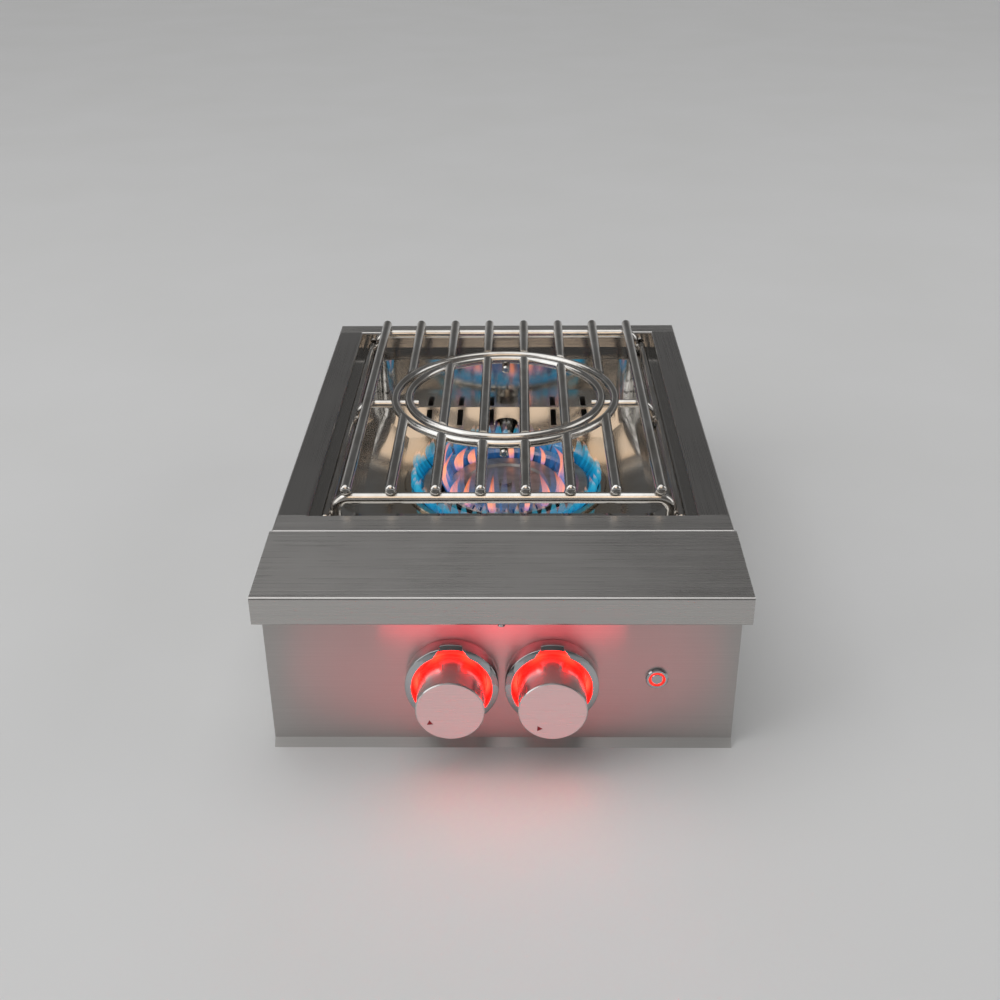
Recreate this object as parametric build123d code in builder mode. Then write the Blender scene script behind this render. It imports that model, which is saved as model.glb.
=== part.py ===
from build123d import *
from math import sqrt
import os

os.makedirs("parts", exist_ok=True)

# Built-in gas power burner: a sheet-metal housing with a two-ring burner in a polished bowl, a rod grate
# with a drop-in centre ring, and two push-to-turn knobs in lit bezels.
# The origin is on the burner's axis, at the level of the surface it stands on. The front is -Y, up is +Z.
# All sizes are in millimetres.

# Clearances
weld_gap = 0.05  # between two pieces that are welded or pressed together
rest_gap = 0.3  # between a loose piece and the seat it stands on
running_gap = 0.05  # round a shaft or plunger that moves in a bore

# Sheet metal
sheet = 1.5
bend_radius = 2.0

# Top frame
frame_width = 379.0
frame_depth = 472.7
frame_top_z = 151.0
side_strip = 26.25
front_strip = 27.3
rear_strip = 22.7
skirt_depth = 18.0
rim_height = 12.0
rim_return = 12.0

# Front canopy and control panel
canopy_overhang = 1.0
canopy_depth = 95.0
canopy_drop = 3.4
lip_height = 24.6
lip_return = 10.0
canopy_screw_head = 6.0
canopy_screw_height = 2.6
canopy_screw_shank = 4.0
canopy_screw_length = 8.0
panel_inset = 5.5
panel_setback = 12.0
panel_flange = 14.0
panel_kick = 5.9

# Housing round the firebox
body_gap = 1.25
pan_upstand = 12.0
panel_top_flange = 9.0
vent_length = 36.0
vent_width = 6.0
vent_pitch = 14.0
rear_vents = 7
side_vents = 9
pan_vents = 8

# Firebox
liner_sheet = 1.2
side_ledge = 22.25
front_ledge = 34.7
rear_ledge = 37.0
firebox_corner = 18.0
hopper_drop = 7.0
hopper_margin_x = 3.5
hopper_margin_y = 1.5
hopper_flat_corner = 3.0
hopper_slot_pitch = 34.8
hopper_slot_width = 6.0
hopper_slot_length = 34.0
hopper_slot_inset = 5.0
hopper_slots = 6

# Burner bowl and burners
bowl_depth = 22.8
bowl_clearance = 3.0
bowl_rim = 7.5
bowl_rim_height = 3.0
bowl_rim_chamfer = 1.0
bowl_corner = 14.0
foot_height = 8.8
foot_diameter = 8.0
feet = 3
first_foot_angle = 60.0
outer_burner_gap = 7.0
outer_burner_width = 16.0
outer_burner_height = 14.5
outer_burner_chamfer = 5.0
outer_ports = 60
inner_burner_gap = 12.0
inner_burner_height = 6.0
inner_cap_radius = 60.0
inner_cap_height = 8.0
inner_cap_overhang = 5.0
inner_cap_chamfer = 5.0
inner_cap_dish = 40.0
inner_cap_dish_depth = 2.0
inner_neck_setback = 20.2
inner_ports = 44
port_width = 1.8
port_depth = 3.0
cap_screw_head = 12.0
cap_screw_height = 3.0

# Igniter
shroud_diameter = 27.0
shroud_gap = 1.5
shroud_above = 12.0
shroud_below = 18.0
shroud_lip = 3.0
insulator_diameter = 8.0
insulator_recess = 11.0
insulator_tail = 16.0
insulator_shoulder = 13.0
insulator_shoulder_height = 4.0
electrode_diameter = 2.4
electrode_recess = 1.0
electrode_tip = 8.0
electrode_tip_diameter = 2.0

# Gas train
venturi_z = 30.0
venturi_diameter = 22.0
venturi_bend = 14.0
venturi_rise = 16.0
venturi_mouth = 10.0
shutter_wall = 2.0
shutter_length = 17.0
shutter_windows = 4
shutter_window = 7.0
orifice_across_flats = 10.0
orifice_length = 9.0
orifice_nose = 5.0
orifice_bore = 1.6
orifice_gap = 3.0
feed_tube_diameter = 8.0
feed_tube_straight = 0.5
valve_length = 31.0
valve_panel_gap = 4.5
valve_diameter = 28.0
valve_flange_width = 44.0
valve_flange_height = 24.0
valve_flange_corner = 9.6
valve_flange_thickness = 3.0
valve_saddle = 19.0
manifold_diameter = 16.0
manifold_y = -300.0
manifold_drop = 27.0
manifold_overhang = 26.0
manifold_bend = 24.0
supply_inset = 26.0
inlet_collar = 20.0
inlet_collar_back = 10.0
inlet_collar_front = 2.0
inlet_thread = 15.88
inlet_thread_length = 14.0
inlet_flare = 2.0
inlet_flare_bore = 8.0
grommet_inset = 46.0
grommet_z = 30.0
grommet_hole = 14.0
grommet_bore = 7.0
grommet_flange = 18.0
grommet_lip = 2.0

# Knobs, bezels and light rings
control_x = 39.1
control_z = 65.6
knob_diameter = 53.0
knob_face = 43.5
knob_back = 3.6
knob_wall = 2.5
knob_face_wall = 4.5
knob_chamfer = 0.8
knob_boss = 16.0
knob_boss_inset = 5.0
left_pointer_angle = 214.5
right_pointer_angle = 237.0
pointer_radius = 19.0
pointer_size = 2.9
pointer_depth = 0.4
stem_diameter = 8.0
stem_shoulder = 12.0
stem_shoulder_length = 1.5
stem_into_valve = 21.0
stem_hole = 14.0
push_travel = 3.0
collar_diameter = 14.5
collar_length = 5.0
bezel_diameter = 73.6
bezel_opening = 63.0
bezel_height = 15.0
bezel_skirt = 13.0
bezel_rim = 0.8
notch_inner = 31.0
notch_outer = 14.0
notch_depth = 6.9
notch_inset = 5.5
notch_overcut = 1.2
light_ring_bore = 55.0
led_board_thickness = 1.6
light_ring_height = 5.3

# Lit push switch
switch_inset = 63.0
switch_hole = 16.0
switch_bezel = 18.0
switch_bezel_height = 2.6
switch_bezel_chamfer = 0.8
switch_length = 22.0
switch_well = 13.2
switch_ring_bore = 9.6
switch_ring_recess = 0.4
switch_button_height = 3.4
switch_travel = 1.5
switch_floor_gap = 0.7
switch_nut = 20.0
switch_nut_thickness = 3.0

# Grate
bar_diameter = 9.5
bars = 8
bar_inset = 0.5
bar_dome = 3.2
end_bar_inset = 9.85
ring_inset = 25.85
ring_spacing = 13.5
ring_rod = 8.0
centre_bars = 4
crossbar_inset = 7.0
rod_bend = 12.0
side_rod_inset = 11.25
grate_front_gap = 16.7
grate_rear_gap = 6.0
stub_overhang = 9.0
peg_overhang = 4.5
peg_chamfer = 1.6
cope_setback = 2.4  # how far past a ring's middle the bars are cut back before they are coped
grate_height = 31.0
leg_lift = 1.0
rod_chamfer = 1.0

# Places that follow from the sizes above
frame_half = frame_width / 2
opening_half = frame_half - side_strip
opening_depth = frame_depth - front_strip - rear_strip
side_rod_half_length = (opening_depth - grate_front_gap - grate_rear_gap) / 2
opening_front_y = -side_rod_half_length - grate_front_gap
opening_rear_y = side_rod_half_length + grate_rear_gap
frame_front_y = opening_front_y - front_strip
frame_rear_y = opening_rear_y + rear_strip
firebox_half_x = opening_half - side_ledge
firebox_front_y = opening_front_y + front_ledge
firebox_rear_y = opening_rear_y - rear_ledge
ledge_z = frame_top_z - skirt_depth
rim_bottom_z = frame_top_z - rim_height
front_rim_z = rim_bottom_z + sheet
frame_under_z = frame_top_z - sheet
side_inner_x = opening_half + sheet + body_gap
side_outer_x = side_inner_x + sheet
rear_inner_y = opening_rear_y + sheet + body_gap
rear_outer_y = rear_inner_y + sheet
canopy_front_y = frame_front_y - canopy_depth
lip_top_z = frame_top_z - canopy_drop
lip_bottom_z = lip_top_z - lip_height
panel_y = canopy_front_y + panel_setback
panel_inner_y = panel_y + sheet
canopy_half = frame_half + canopy_overhang
panel_half = canopy_half - panel_inset
switch_x = panel_half - switch_inset
supply_x = side_inner_x - supply_inset
grommet_x = grommet_inset - side_inner_x
canopy_slope = canopy_drop / canopy_depth
canopy_upright = sheet * sqrt(1 + canopy_slope**2)  # the sloping sheet's thickness, measured upright
panel_top_z = frame_top_z - canopy_slope * (frame_front_y - panel_y) - canopy_upright - weld_gap
wall_rear_y = frame_front_y + sheet
valve_front_y = panel_inner_y + valve_panel_gap
valve_rear_y = valve_front_y + valve_length
manifold_z = control_z - manifold_drop
shutter_radius = venturi_diameter / 2 + weld_gap + shutter_wall
venturi_front_y = frame_front_y - venturi_mouth
shutter_front_y = frame_front_y - shutter_length
orifice_front_y = shutter_front_y - orifice_gap
inner_burner_radius = inner_cap_radius - inner_cap_overhang
inner_foot_radius = inner_burner_radius - foot_diameter
outer_burner_bore_radius = inner_cap_radius + inner_burner_gap
outer_burner_radius = outer_burner_bore_radius + outer_burner_width
outer_neck_radius = (outer_burner_bore_radius + outer_burner_radius) / 2
outer_neck_y = -sqrt(outer_neck_radius**2 - control_x**2)
inner_neck_y = -inner_neck_setback
bowl_radius = outer_burner_radius + outer_burner_gap
bowl_floor_z = venturi_z + venturi_diameter / 2 + bowl_clearance + liner_sheet
burner_base_z = bowl_floor_z + foot_height
outer_burner_top_z = burner_base_z + outer_burner_height
inner_burner_top_z = burner_base_z + inner_burner_height
inner_cap_top_z = inner_burner_top_z + inner_cap_height
hopper_floor_z = bowl_floor_z + bowl_depth
hopper_top_z = hopper_floor_z + hopper_drop
hopper_flat_half_x = bowl_radius + bowl_rim + hopper_margin_x
hopper_flat_half_y = bowl_radius + bowl_rim + hopper_margin_y
shroud_y = bowl_radius + bowl_rim + shroud_gap + shroud_diameter / 2
shroud_top_z = hopper_floor_z + shroud_above
shroud_bottom_z = hopper_floor_z - shroud_below
insulator_top_z = shroud_top_z - insulator_recess
insulator_bottom_z = shroud_bottom_z - insulator_tail
electrode_top_z = shroud_top_z - electrode_recess
neck_z = venturi_z + venturi_rise
bar_z = ledge_z + grate_height
crossbar_z = bar_z - bar_diameter - weld_gap
stub_z = bar_z - (bar_diameter + ring_rod) / 2 - weld_gap
grate_ring_z = stub_z + ring_rod + weld_gap
centre_ring_z = stub_z + ring_rod + rest_gap
side_rod_x = opening_half - side_rod_inset
side_rod_z = ledge_z + ring_rod / 2 + rest_gap
leg_foot_z = ledge_z + rest_gap + leg_lift
crossbar_leg_x = side_rod_x - (ring_rod + bar_diameter) / 2 - weld_gap
stub_leg_x = side_rod_x - ring_rod - weld_gap
long_bar_x = crossbar_leg_x - end_bar_inset
bar_pitch = 2 * long_bar_x / (bars - 1)
bar_places = [i * bar_pitch - long_bar_x for i in range(bars)]
bar_half_length = side_rod_half_length - bar_inset
crossbar_y = side_rod_half_length - crossbar_inset
grate_ring_radius = long_bar_x - ring_inset
centre_ring_radius = grate_ring_radius - ring_spacing
stub_reach = centre_ring_radius - stub_overhang
sides = {"left": -1, "right": 1}


def keep(piece, node):
    """Label a finished piece and write it as one node."""
    piece.part.label = node
    export_step(piece.part, f"parts/{node}.step")


def span(half_x, front_y, rear_y, mode=Mode.ADD):
    """Draw a rectangle across the X axis, from front_y to rear_y, in the open sketch."""
    with Locations((0, (front_y + rear_y) / 2)):
        Rectangle(2 * half_x, rear_y - front_y, mode=mode)


def round_span(half_x, front_y, rear_y, corner, mode=Mode.ADD):
    """Draw the same rectangle with round corners."""
    with Locations((0, (front_y + rear_y) / 2)):
        RectangleRounded(2 * half_x, rear_y - front_y, corner, mode=mode)


def front_plane(x, depth=0.0):
    """Plane on the control panel's front face at x, seen from the front, moved out by depth."""
    return Plane(origin=(x, panel_y - depth, control_z), x_dir=(1, 0, 0), z_dir=(0, -1, 0))


def dial_plane(x):
    """Plane for turned profiles on the control axis at x: first radius, then distance out of the panel."""
    return Plane(origin=(x, panel_y, control_z), x_dir=(1, 0, 0), z_dir=(0, 0, -1))


def dial_axis(x):
    """Axis of a knob or switch at x, pointing out of the panel."""
    return Axis((x, panel_y, control_z), (0, -1, 0))


def turned(x, points):
    """Turn a closed profile of (radius, distance out of the panel) points about the control axis at x."""
    with BuildSketch(dial_plane(x)) as section:
        with BuildLine():
            Polyline(*points, close=True)
        make_face()
    revolve(section.sketch, axis=dial_axis(x))


def rod(points, diameter, bend):
    """Sweep a round rod along straight runs joined by bends."""
    with BuildLine() as path:
        FilletPolyline(*points, radius=bend)
    with BuildSketch(path.line ^ 0) as section:
        Circle(diameter / 2)
    sweep(section.sketch, path=path.line)


# Top frame: strips round the opening, a skirt down to the ledge, and a rim turned in at the sides and rear
with BuildPart() as top_frame:
    with BuildSketch(Plane.XY.offset(frame_under_z)):
        span(frame_half, frame_front_y, frame_rear_y)
        span(opening_half, opening_front_y, opening_rear_y, Mode.SUBTRACT)
    extrude(amount=sheet)
    with BuildSketch(Plane.XY.offset(ledge_z)):
        span(opening_half + sheet, opening_front_y - sheet, opening_rear_y + sheet)
        span(opening_half, opening_front_y, opening_rear_y, Mode.SUBTRACT)
    extrude(amount=skirt_depth - sheet)
    with BuildSketch(Plane.XY.offset(front_rim_z)):
        span(frame_half, frame_front_y, frame_rear_y)
        span(frame_half - sheet, frame_front_y + sheet, frame_rear_y - sheet, Mode.SUBTRACT)
    extrude(amount=frame_under_z - front_rim_z)
    with BuildSketch(Plane.XY.offset(rim_bottom_z)):
        span(frame_half, frame_front_y, frame_rear_y)
        span(frame_half - rim_return, frame_front_y, frame_rear_y - rim_return, Mode.SUBTRACT)
    extrude(amount=sheet)
    fillet(top_frame.faces().sort_by(Axis.Z)[-1].edges(), bend_radius)
keep(top_frame, "top_frame")

# Front canopy: one bent sheet with a lip and its return, closed by two cheeks
with BuildPart() as front_canopy:
    with BuildSketch(Plane.YZ) as canopy_section:
        with BuildLine():
            FilletPolyline(
                (frame_front_y, frame_top_z),
                (canopy_front_y, lip_top_z),
                (canopy_front_y, lip_bottom_z),
                (canopy_front_y + lip_return, lip_bottom_z),
                radius=bend_radius,
            )
            offset(amount=sheet, side=Side.LEFT)
        make_face()
    extrude(amount=canopy_half, both=True)
    for outer in (-canopy_half, canopy_half - sheet):
        with BuildSketch(Plane.YZ.offset(outer)):
            with BuildLine():
                Polyline(
                    (frame_front_y, frame_top_z),
                    (canopy_front_y + bend_radius, lip_top_z),
                    (canopy_front_y + bend_radius, lip_bottom_z),
                    (frame_front_y, lip_bottom_z),
                    close=True,
                )
            make_face()
        extrude(amount=sheet)
    flange_half = panel_half - 2 * sheet
    with BuildSketch(Plane.XY.offset(rim_bottom_z)):
        span(flange_half, frame_front_y - sheet, frame_front_y)
    extrude(amount=rim_height - sheet)
    screw_y = canopy_front_y + bend_radius + canopy_screw_head / 2
    with Locations((0, screw_y, lip_bottom_z + sheet / 2)):
        Cylinder(canopy_screw_shank / 2 + weld_gap, 2 * sheet, mode=Mode.SUBTRACT)
keep(front_canopy, "front_canopy")

# Small screw under the middle of the lip
with BuildPart() as canopy_screw:
    with BuildSketch(Plane.XY.offset(lip_bottom_z)):
        with Locations((0, screw_y)):
            Circle(canopy_screw_head / 2)
    extrude(amount=-canopy_screw_height)
    with BuildSketch(Plane.XY.offset(lip_bottom_z)):
        with Locations((0, screw_y)):
            Circle(canopy_screw_shank / 2)
    extrude(amount=canopy_screw_length)
keep(canopy_screw, "canopy_screw")

# Control panel: bent sheet with a kick-out foot, side returns and the holes for the controls
inner_kick = sheet * (sqrt(2) - 1)
with BuildPart() as control_panel:
    with BuildSketch(Plane.YZ):
        with BuildLine():
            Polyline(
                (panel_y + panel_flange, panel_top_z),
                (panel_y, panel_top_z),
                (panel_y, panel_kick),
                (panel_y - panel_kick, 0),
                (panel_y - panel_kick + sheet * sqrt(2), 0),
                (panel_inner_y, panel_kick - inner_kick),
                (panel_inner_y, panel_top_z - sheet),
                (panel_y + panel_flange, panel_top_z - sheet),
                close=True,
            )
        make_face()
    extrude(amount=panel_half, both=True)
    for outer in (-panel_half, panel_half - sheet):
        with BuildSketch(Plane.YZ.offset(outer)):
            with Locations(((panel_y + frame_front_y) / 2, (panel_kick + panel_top_z) / 2)):
                Rectangle(frame_front_y - panel_y, panel_top_z - panel_kick)
        extrude(amount=sheet)
    for x in (-control_x, control_x):
        with Locations(front_plane(x)):
            Cylinder(stem_hole / 2, 4 * sheet, mode=Mode.SUBTRACT)
    with Locations(front_plane(switch_x)):
        Cylinder(switch_hole / 2, 4 * sheet, mode=Mode.SUBTRACT)
keep(control_panel, "control_panel")

# Fire wall between the controls and the firebox
with BuildPart() as fire_wall:
    with BuildSketch(Plane.XY.offset(sheet)):
        span(side_outer_x, frame_front_y, wall_rear_y)
    extrude(amount=front_rim_z - sheet)
    for x in (-control_x, control_x):
        with Locations(Plane(origin=(x, frame_front_y, venturi_z), z_dir=(0, -1, 0))):
            Cylinder(venturi_diameter / 2 + rest_gap, 4 * sheet, mode=Mode.SUBTRACT)
    with Locations(Plane(origin=(supply_x, frame_front_y, manifold_z), z_dir=(0, -1, 0))):
        Cylinder(manifold_diameter / 2 + rest_gap, 4 * sheet, mode=Mode.SUBTRACT)
keep(fire_wall, "fire_wall")

# Side panels with a row of vents and a flange under the top frame
for side, sign in sides.items():
    with BuildPart() as side_panel:
        with BuildSketch(Plane.YZ.offset(sign * side_inner_x)):
            with Locations(((wall_rear_y + rear_inner_y) / 2, (sheet + frame_under_z) / 2)):
                Rectangle(rear_inner_y - wall_rear_y, frame_under_z - sheet)
            with Locations(((wall_rear_y + rear_inner_y) / 2, sheet + vent_length)):
                with GridLocations(2 * vent_pitch, 1, side_vents, 1):
                    Rectangle(vent_width, vent_length, mode=Mode.SUBTRACT)
        extrude(amount=sign * sheet)
        with BuildSketch(Plane.XY.offset(frame_under_z)):
            with Locations((sign * (side_outer_x + panel_top_flange / 2), (wall_rear_y + rear_inner_y) / 2)):
                Rectangle(panel_top_flange, rear_inner_y - wall_rear_y - 2 * rim_return)
        extrude(amount=-sheet)
    keep(side_panel, f"{side}_side_panel")

# Rear panel with vents, the gas inlet hole and the cable hole
with BuildPart() as rear_panel:
    with BuildSketch(Plane.XZ.offset(-rear_outer_y)):
        with Locations((0, (sheet + frame_under_z) / 2)):
            Rectangle(2 * side_outer_x, frame_under_z - sheet)
        with Locations((0, ledge_z - vent_length)):
            with GridLocations(2 * vent_pitch, 1, rear_vents, 1):
                Rectangle(vent_width, vent_length, mode=Mode.SUBTRACT)
        with Locations((supply_x, manifold_z)):
            Circle(inlet_collar / 2 + rest_gap, mode=Mode.SUBTRACT)
        with Locations((grommet_x, grommet_z)):
            Circle(grommet_hole / 2, mode=Mode.SUBTRACT)
    extrude(amount=sheet)
keep(rear_panel, "rear_panel")

# Base pan: wide under the controls, narrow under the firebox, with air slots under the burner
with BuildPart() as base_pan:
    with BuildSketch():
        span(side_outer_x, frame_front_y, rear_outer_y)
        span(panel_half - sheet, panel_inner_y, frame_front_y)
        with GridLocations(2 * vent_pitch, 3 * vent_length, pan_vents, 2):
            Rectangle(vent_width, 2 * vent_length, mode=Mode.SUBTRACT)
    extrude(amount=sheet)
    with BuildSketch(Plane.XY.offset(sheet)):
        span(panel_half - sheet, panel_inner_y, panel_inner_y + sheet)
    extrude(amount=pan_upstand - sheet)
keep(base_pan, "base_pan")

# Firebox liner: polished walls with round corners, and the ledge that the grate stands on
with BuildPart() as firebox_liner:
    with BuildSketch(Plane.XY.offset(ledge_z - liner_sheet)):
        span(side_inner_x, opening_front_y - sheet - body_gap, rear_inner_y)
        round_span(firebox_half_x, firebox_front_y, firebox_rear_y, firebox_corner, Mode.SUBTRACT)
    extrude(amount=liner_sheet)
    with BuildSketch(Plane.XY.offset(hopper_top_z)):
        round_span(
            firebox_half_x + liner_sheet,
            firebox_front_y - liner_sheet,
            firebox_rear_y + liner_sheet,
            firebox_corner + liner_sheet,
        )
        round_span(firebox_half_x, firebox_front_y, firebox_rear_y, firebox_corner, Mode.SUBTRACT)
    extrude(amount=ledge_z - liner_sheet - hopper_top_z)
keep(firebox_liner, "firebox_liner")

# Hopper floor: four slopes down to a flat middle, with the bowl's seat, the igniter hole and rows of slots
bowl_seat = bowl_radius + liner_sheet + rest_gap
with BuildPart() as hopper_floor:
    with BuildSketch(Plane.XY.offset(hopper_top_z)):
        round_span(
            firebox_half_x + liner_sheet,
            firebox_front_y - liner_sheet,
            firebox_rear_y + liner_sheet,
            firebox_corner + liner_sheet,
        )
    with BuildSketch(Plane.XY.offset(hopper_floor_z - liner_sheet)):
        RectangleRounded(
            2 * (hopper_flat_half_x + liner_sheet),
            2 * (hopper_flat_half_y + liner_sheet),
            hopper_flat_corner + liner_sheet,
        )
    loft(ruled=True)
    with BuildSketch(Plane.XY.offset(hopper_top_z)):
        round_span(firebox_half_x, firebox_front_y, firebox_rear_y, firebox_corner)
    with BuildSketch(Plane.XY.offset(hopper_floor_z)):
        RectangleRounded(2 * hopper_flat_half_x, 2 * hopper_flat_half_y, hopper_flat_corner)
    loft(ruled=True, mode=Mode.SUBTRACT)
    with BuildSketch(Plane.XY.offset(hopper_floor_z - 2 * liner_sheet)):
        Circle(bowl_seat)
        with Locations((0, shroud_y)):
            Circle(shroud_diameter / 2 + rest_gap)
        slot_shift = hopper_slot_inset + hopper_slot_length / 2
        with Locations((0, firebox_rear_y - slot_shift), (0, firebox_front_y + slot_shift)):
            with GridLocations(hopper_slot_pitch, 1, hopper_slots, 1):
                Rectangle(hopper_slot_width, hopper_slot_length)
    extrude(amount=hopper_top_z - hopper_floor_z + 4 * liner_sheet, mode=Mode.SUBTRACT)
keep(hopper_floor, "hopper_floor")

# Burner bowl: a polished dish that hangs by its thick rim in the hopper floor
bowl_outer = bowl_radius + liner_sheet
bowl_rim_z = hopper_floor_z + bowl_rim_height
with BuildPart() as burner_bowl:
    with BuildSketch(Plane.XZ):
        with BuildLine():
            inner_floor = Line((0, bowl_floor_z), (bowl_radius - bowl_corner, bowl_floor_z))
            inner_bend = RadiusArc(inner_floor @ 1, (bowl_radius, bowl_floor_z + bowl_corner), -bowl_corner)
            rim = Polyline(
                inner_bend @ 1,
                (bowl_radius, bowl_rim_z),
                (bowl_radius + bowl_rim, bowl_rim_z),
                (bowl_radius + bowl_rim, hopper_floor_z),
                (bowl_outer, hopper_floor_z),
                (bowl_outer, bowl_floor_z + bowl_corner),
            )
            outer_bend = RadiusArc(
                rim @ 1, (bowl_radius - bowl_corner, bowl_floor_z - liner_sheet), bowl_corner + liner_sheet
            )
            Polyline(outer_bend @ 1, (0, bowl_floor_z - liner_sheet), inner_floor @ 0)
        make_face()
    revolve(axis=Axis.Z)
    chamfer(burner_bowl.faces().sort_by(Axis.Z)[-1].edges(), bowl_rim_chamfer)
    with Locations((-control_x, outer_neck_y, bowl_floor_z), (control_x, inner_neck_y, bowl_floor_z)):
        Cylinder(venturi_diameter / 2 + rest_gap, 4 * bowl_corner, mode=Mode.SUBTRACT)
keep(burner_bowl, "burner_bowl")

# Outer burner: a ring with a row of ports in its outer chamfer, on three feet and a feed neck
with BuildPart() as outer_burner_ring:
    with BuildSketch(Plane.XZ):
        with BuildLine():
            Polyline(
                (outer_burner_bore_radius, burner_base_z),
                (outer_burner_radius, burner_base_z),
                (outer_burner_radius, outer_burner_top_z - outer_burner_chamfer),
                (outer_burner_radius - outer_burner_chamfer, outer_burner_top_z),
                (outer_burner_bore_radius + outer_burner_chamfer / 2, outer_burner_top_z),
                (outer_burner_bore_radius, outer_burner_top_z - outer_burner_chamfer / 2),
                close=True,
            )
        make_face()
    revolve(axis=Axis.Z)
    with Locations((0, 0, outer_burner_top_z - outer_burner_chamfer / 2)):
        with PolarLocations(outer_burner_radius - outer_burner_chamfer / 2, outer_ports):
            Box(2 * port_depth, port_width, port_depth, mode=Mode.SUBTRACT)
    with BuildSketch(Plane.XY.offset(bowl_floor_z)):
        with PolarLocations(outer_neck_radius, feet, start_angle=first_foot_angle):
            Circle(foot_diameter / 2)
    extrude(amount=burner_base_z - bowl_floor_z)
    with BuildSketch(Plane.XY.offset(neck_z)):
        with Locations((-control_x, outer_neck_y)):
            Circle(venturi_diameter / 2)
    extrude(amount=burner_base_z - neck_z)
keep(outer_burner_ring, "outer_burner_ring")

# Inner burner body: a round pot on three feet and a feed neck
with BuildPart() as inner_burner_body:
    with BuildSketch(Plane.XY.offset(burner_base_z)):
        Circle(inner_burner_radius)
    extrude(amount=inner_burner_top_z - burner_base_z)
    chamfer(inner_burner_body.faces().sort_by(Axis.Z)[0].edges(), outer_burner_chamfer / 2)
    with BuildSketch(Plane.XY.offset(bowl_floor_z)):
        with PolarLocations(inner_foot_radius, feet, start_angle=first_foot_angle):
            Circle(foot_diameter / 2)
    extrude(amount=burner_base_z - bowl_floor_z)
    with BuildSketch(Plane.XY.offset(neck_z)):
        with Locations((control_x, inner_neck_y)):
            Circle(venturi_diameter / 2)
    extrude(amount=burner_base_z - neck_z)
keep(inner_burner_body, "inner_burner_body")

# Inner burner cap: ports round its chamfer, a dished top and a centre screw
cap_floor_z = inner_cap_top_z - inner_cap_dish_depth
with BuildPart() as inner_burner_cap:
    with BuildSketch(Plane.XZ):
        with BuildLine():
            Polyline(
                (0, inner_burner_top_z),
                (inner_cap_radius, inner_burner_top_z),
                (inner_cap_radius, inner_cap_top_z - inner_cap_chamfer),
                (inner_cap_radius - inner_cap_chamfer, inner_cap_top_z),
                (inner_cap_dish + inner_cap_dish_depth, inner_cap_top_z),
                (inner_cap_dish, cap_floor_z),
                (cap_screw_head / 2, cap_floor_z),
                (cap_screw_head / 2, cap_floor_z + cap_screw_height),
                (0, cap_floor_z + cap_screw_height),
                close=True,
            )
        make_face()
    revolve(axis=Axis.Z)
    with Locations((0, 0, inner_cap_top_z - inner_cap_chamfer / 2)):
        with PolarLocations(inner_cap_radius - inner_cap_chamfer / 2, inner_ports):
            Box(2 * port_depth, port_width, port_depth, mode=Mode.SUBTRACT)
keep(inner_burner_cap, "inner_burner_cap")

# Igniter: a shroud through the hopper floor, open towards the burner, an insulator and an electrode
with BuildPart() as igniter_shroud:
    with BuildSketch(Plane.XY.offset(shroud_bottom_z)):
        with Locations((0, shroud_y)):
            Circle(shroud_diameter / 2)
    extrude(amount=shroud_top_z - shroud_bottom_z)
    with BuildSketch(Plane.XY.offset(shroud_bottom_z + liner_sheet)):
        with Locations((0, shroud_y)):
            Circle(shroud_diameter / 2 - liner_sheet)
    extrude(amount=shroud_top_z - shroud_bottom_z, mode=Mode.SUBTRACT)
    with Locations((0, shroud_y, shroud_bottom_z)):
        Cylinder(insulator_diameter / 2 + weld_gap, 4 * liner_sheet, mode=Mode.SUBTRACT)
    with Locations((0, shroud_y - shroud_diameter / 2, shroud_top_z)):
        Box(2 * shroud_diameter, shroud_diameter, 2 * (shroud_above - shroud_lip), mode=Mode.SUBTRACT)
keep(igniter_shroud, "igniter_shroud")

shoulder_z = shroud_bottom_z + liner_sheet
with BuildPart() as igniter_insulator:
    with BuildSketch(Plane.XY.offset(insulator_bottom_z)):
        with Locations((0, shroud_y)):
            Circle(insulator_diameter / 2)
    extrude(amount=insulator_top_z - insulator_bottom_z)
    with BuildSketch(Plane.XY.offset(shoulder_z)):
        with Locations((0, shroud_y)):
            Circle(insulator_shoulder / 2)
    extrude(amount=insulator_shoulder_height)
    with Locations((0, shroud_y, (insulator_top_z + insulator_bottom_z) / 2)):
        Cylinder(
            electrode_diameter / 2 + weld_gap, 2 * (insulator_top_z - insulator_bottom_z), mode=Mode.SUBTRACT
        )
keep(igniter_insulator, "igniter_insulator")

with BuildPart() as igniter_electrode:
    with BuildSketch(Plane.XY.offset(insulator_bottom_z - electrode_tip)):
        with Locations((0, shroud_y)):
            Circle(electrode_diameter / 2)
    extrude(amount=electrode_top_z - insulator_bottom_z + electrode_tip)
    with BuildSketch(Plane.XZ.offset(-shroud_y)):
        with Locations((0, electrode_top_z - electrode_diameter / 2)):
            Circle(electrode_tip_diameter / 2)
    extrude(amount=electrode_tip)
keep(igniter_electrode, "igniter_electrode")

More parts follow.
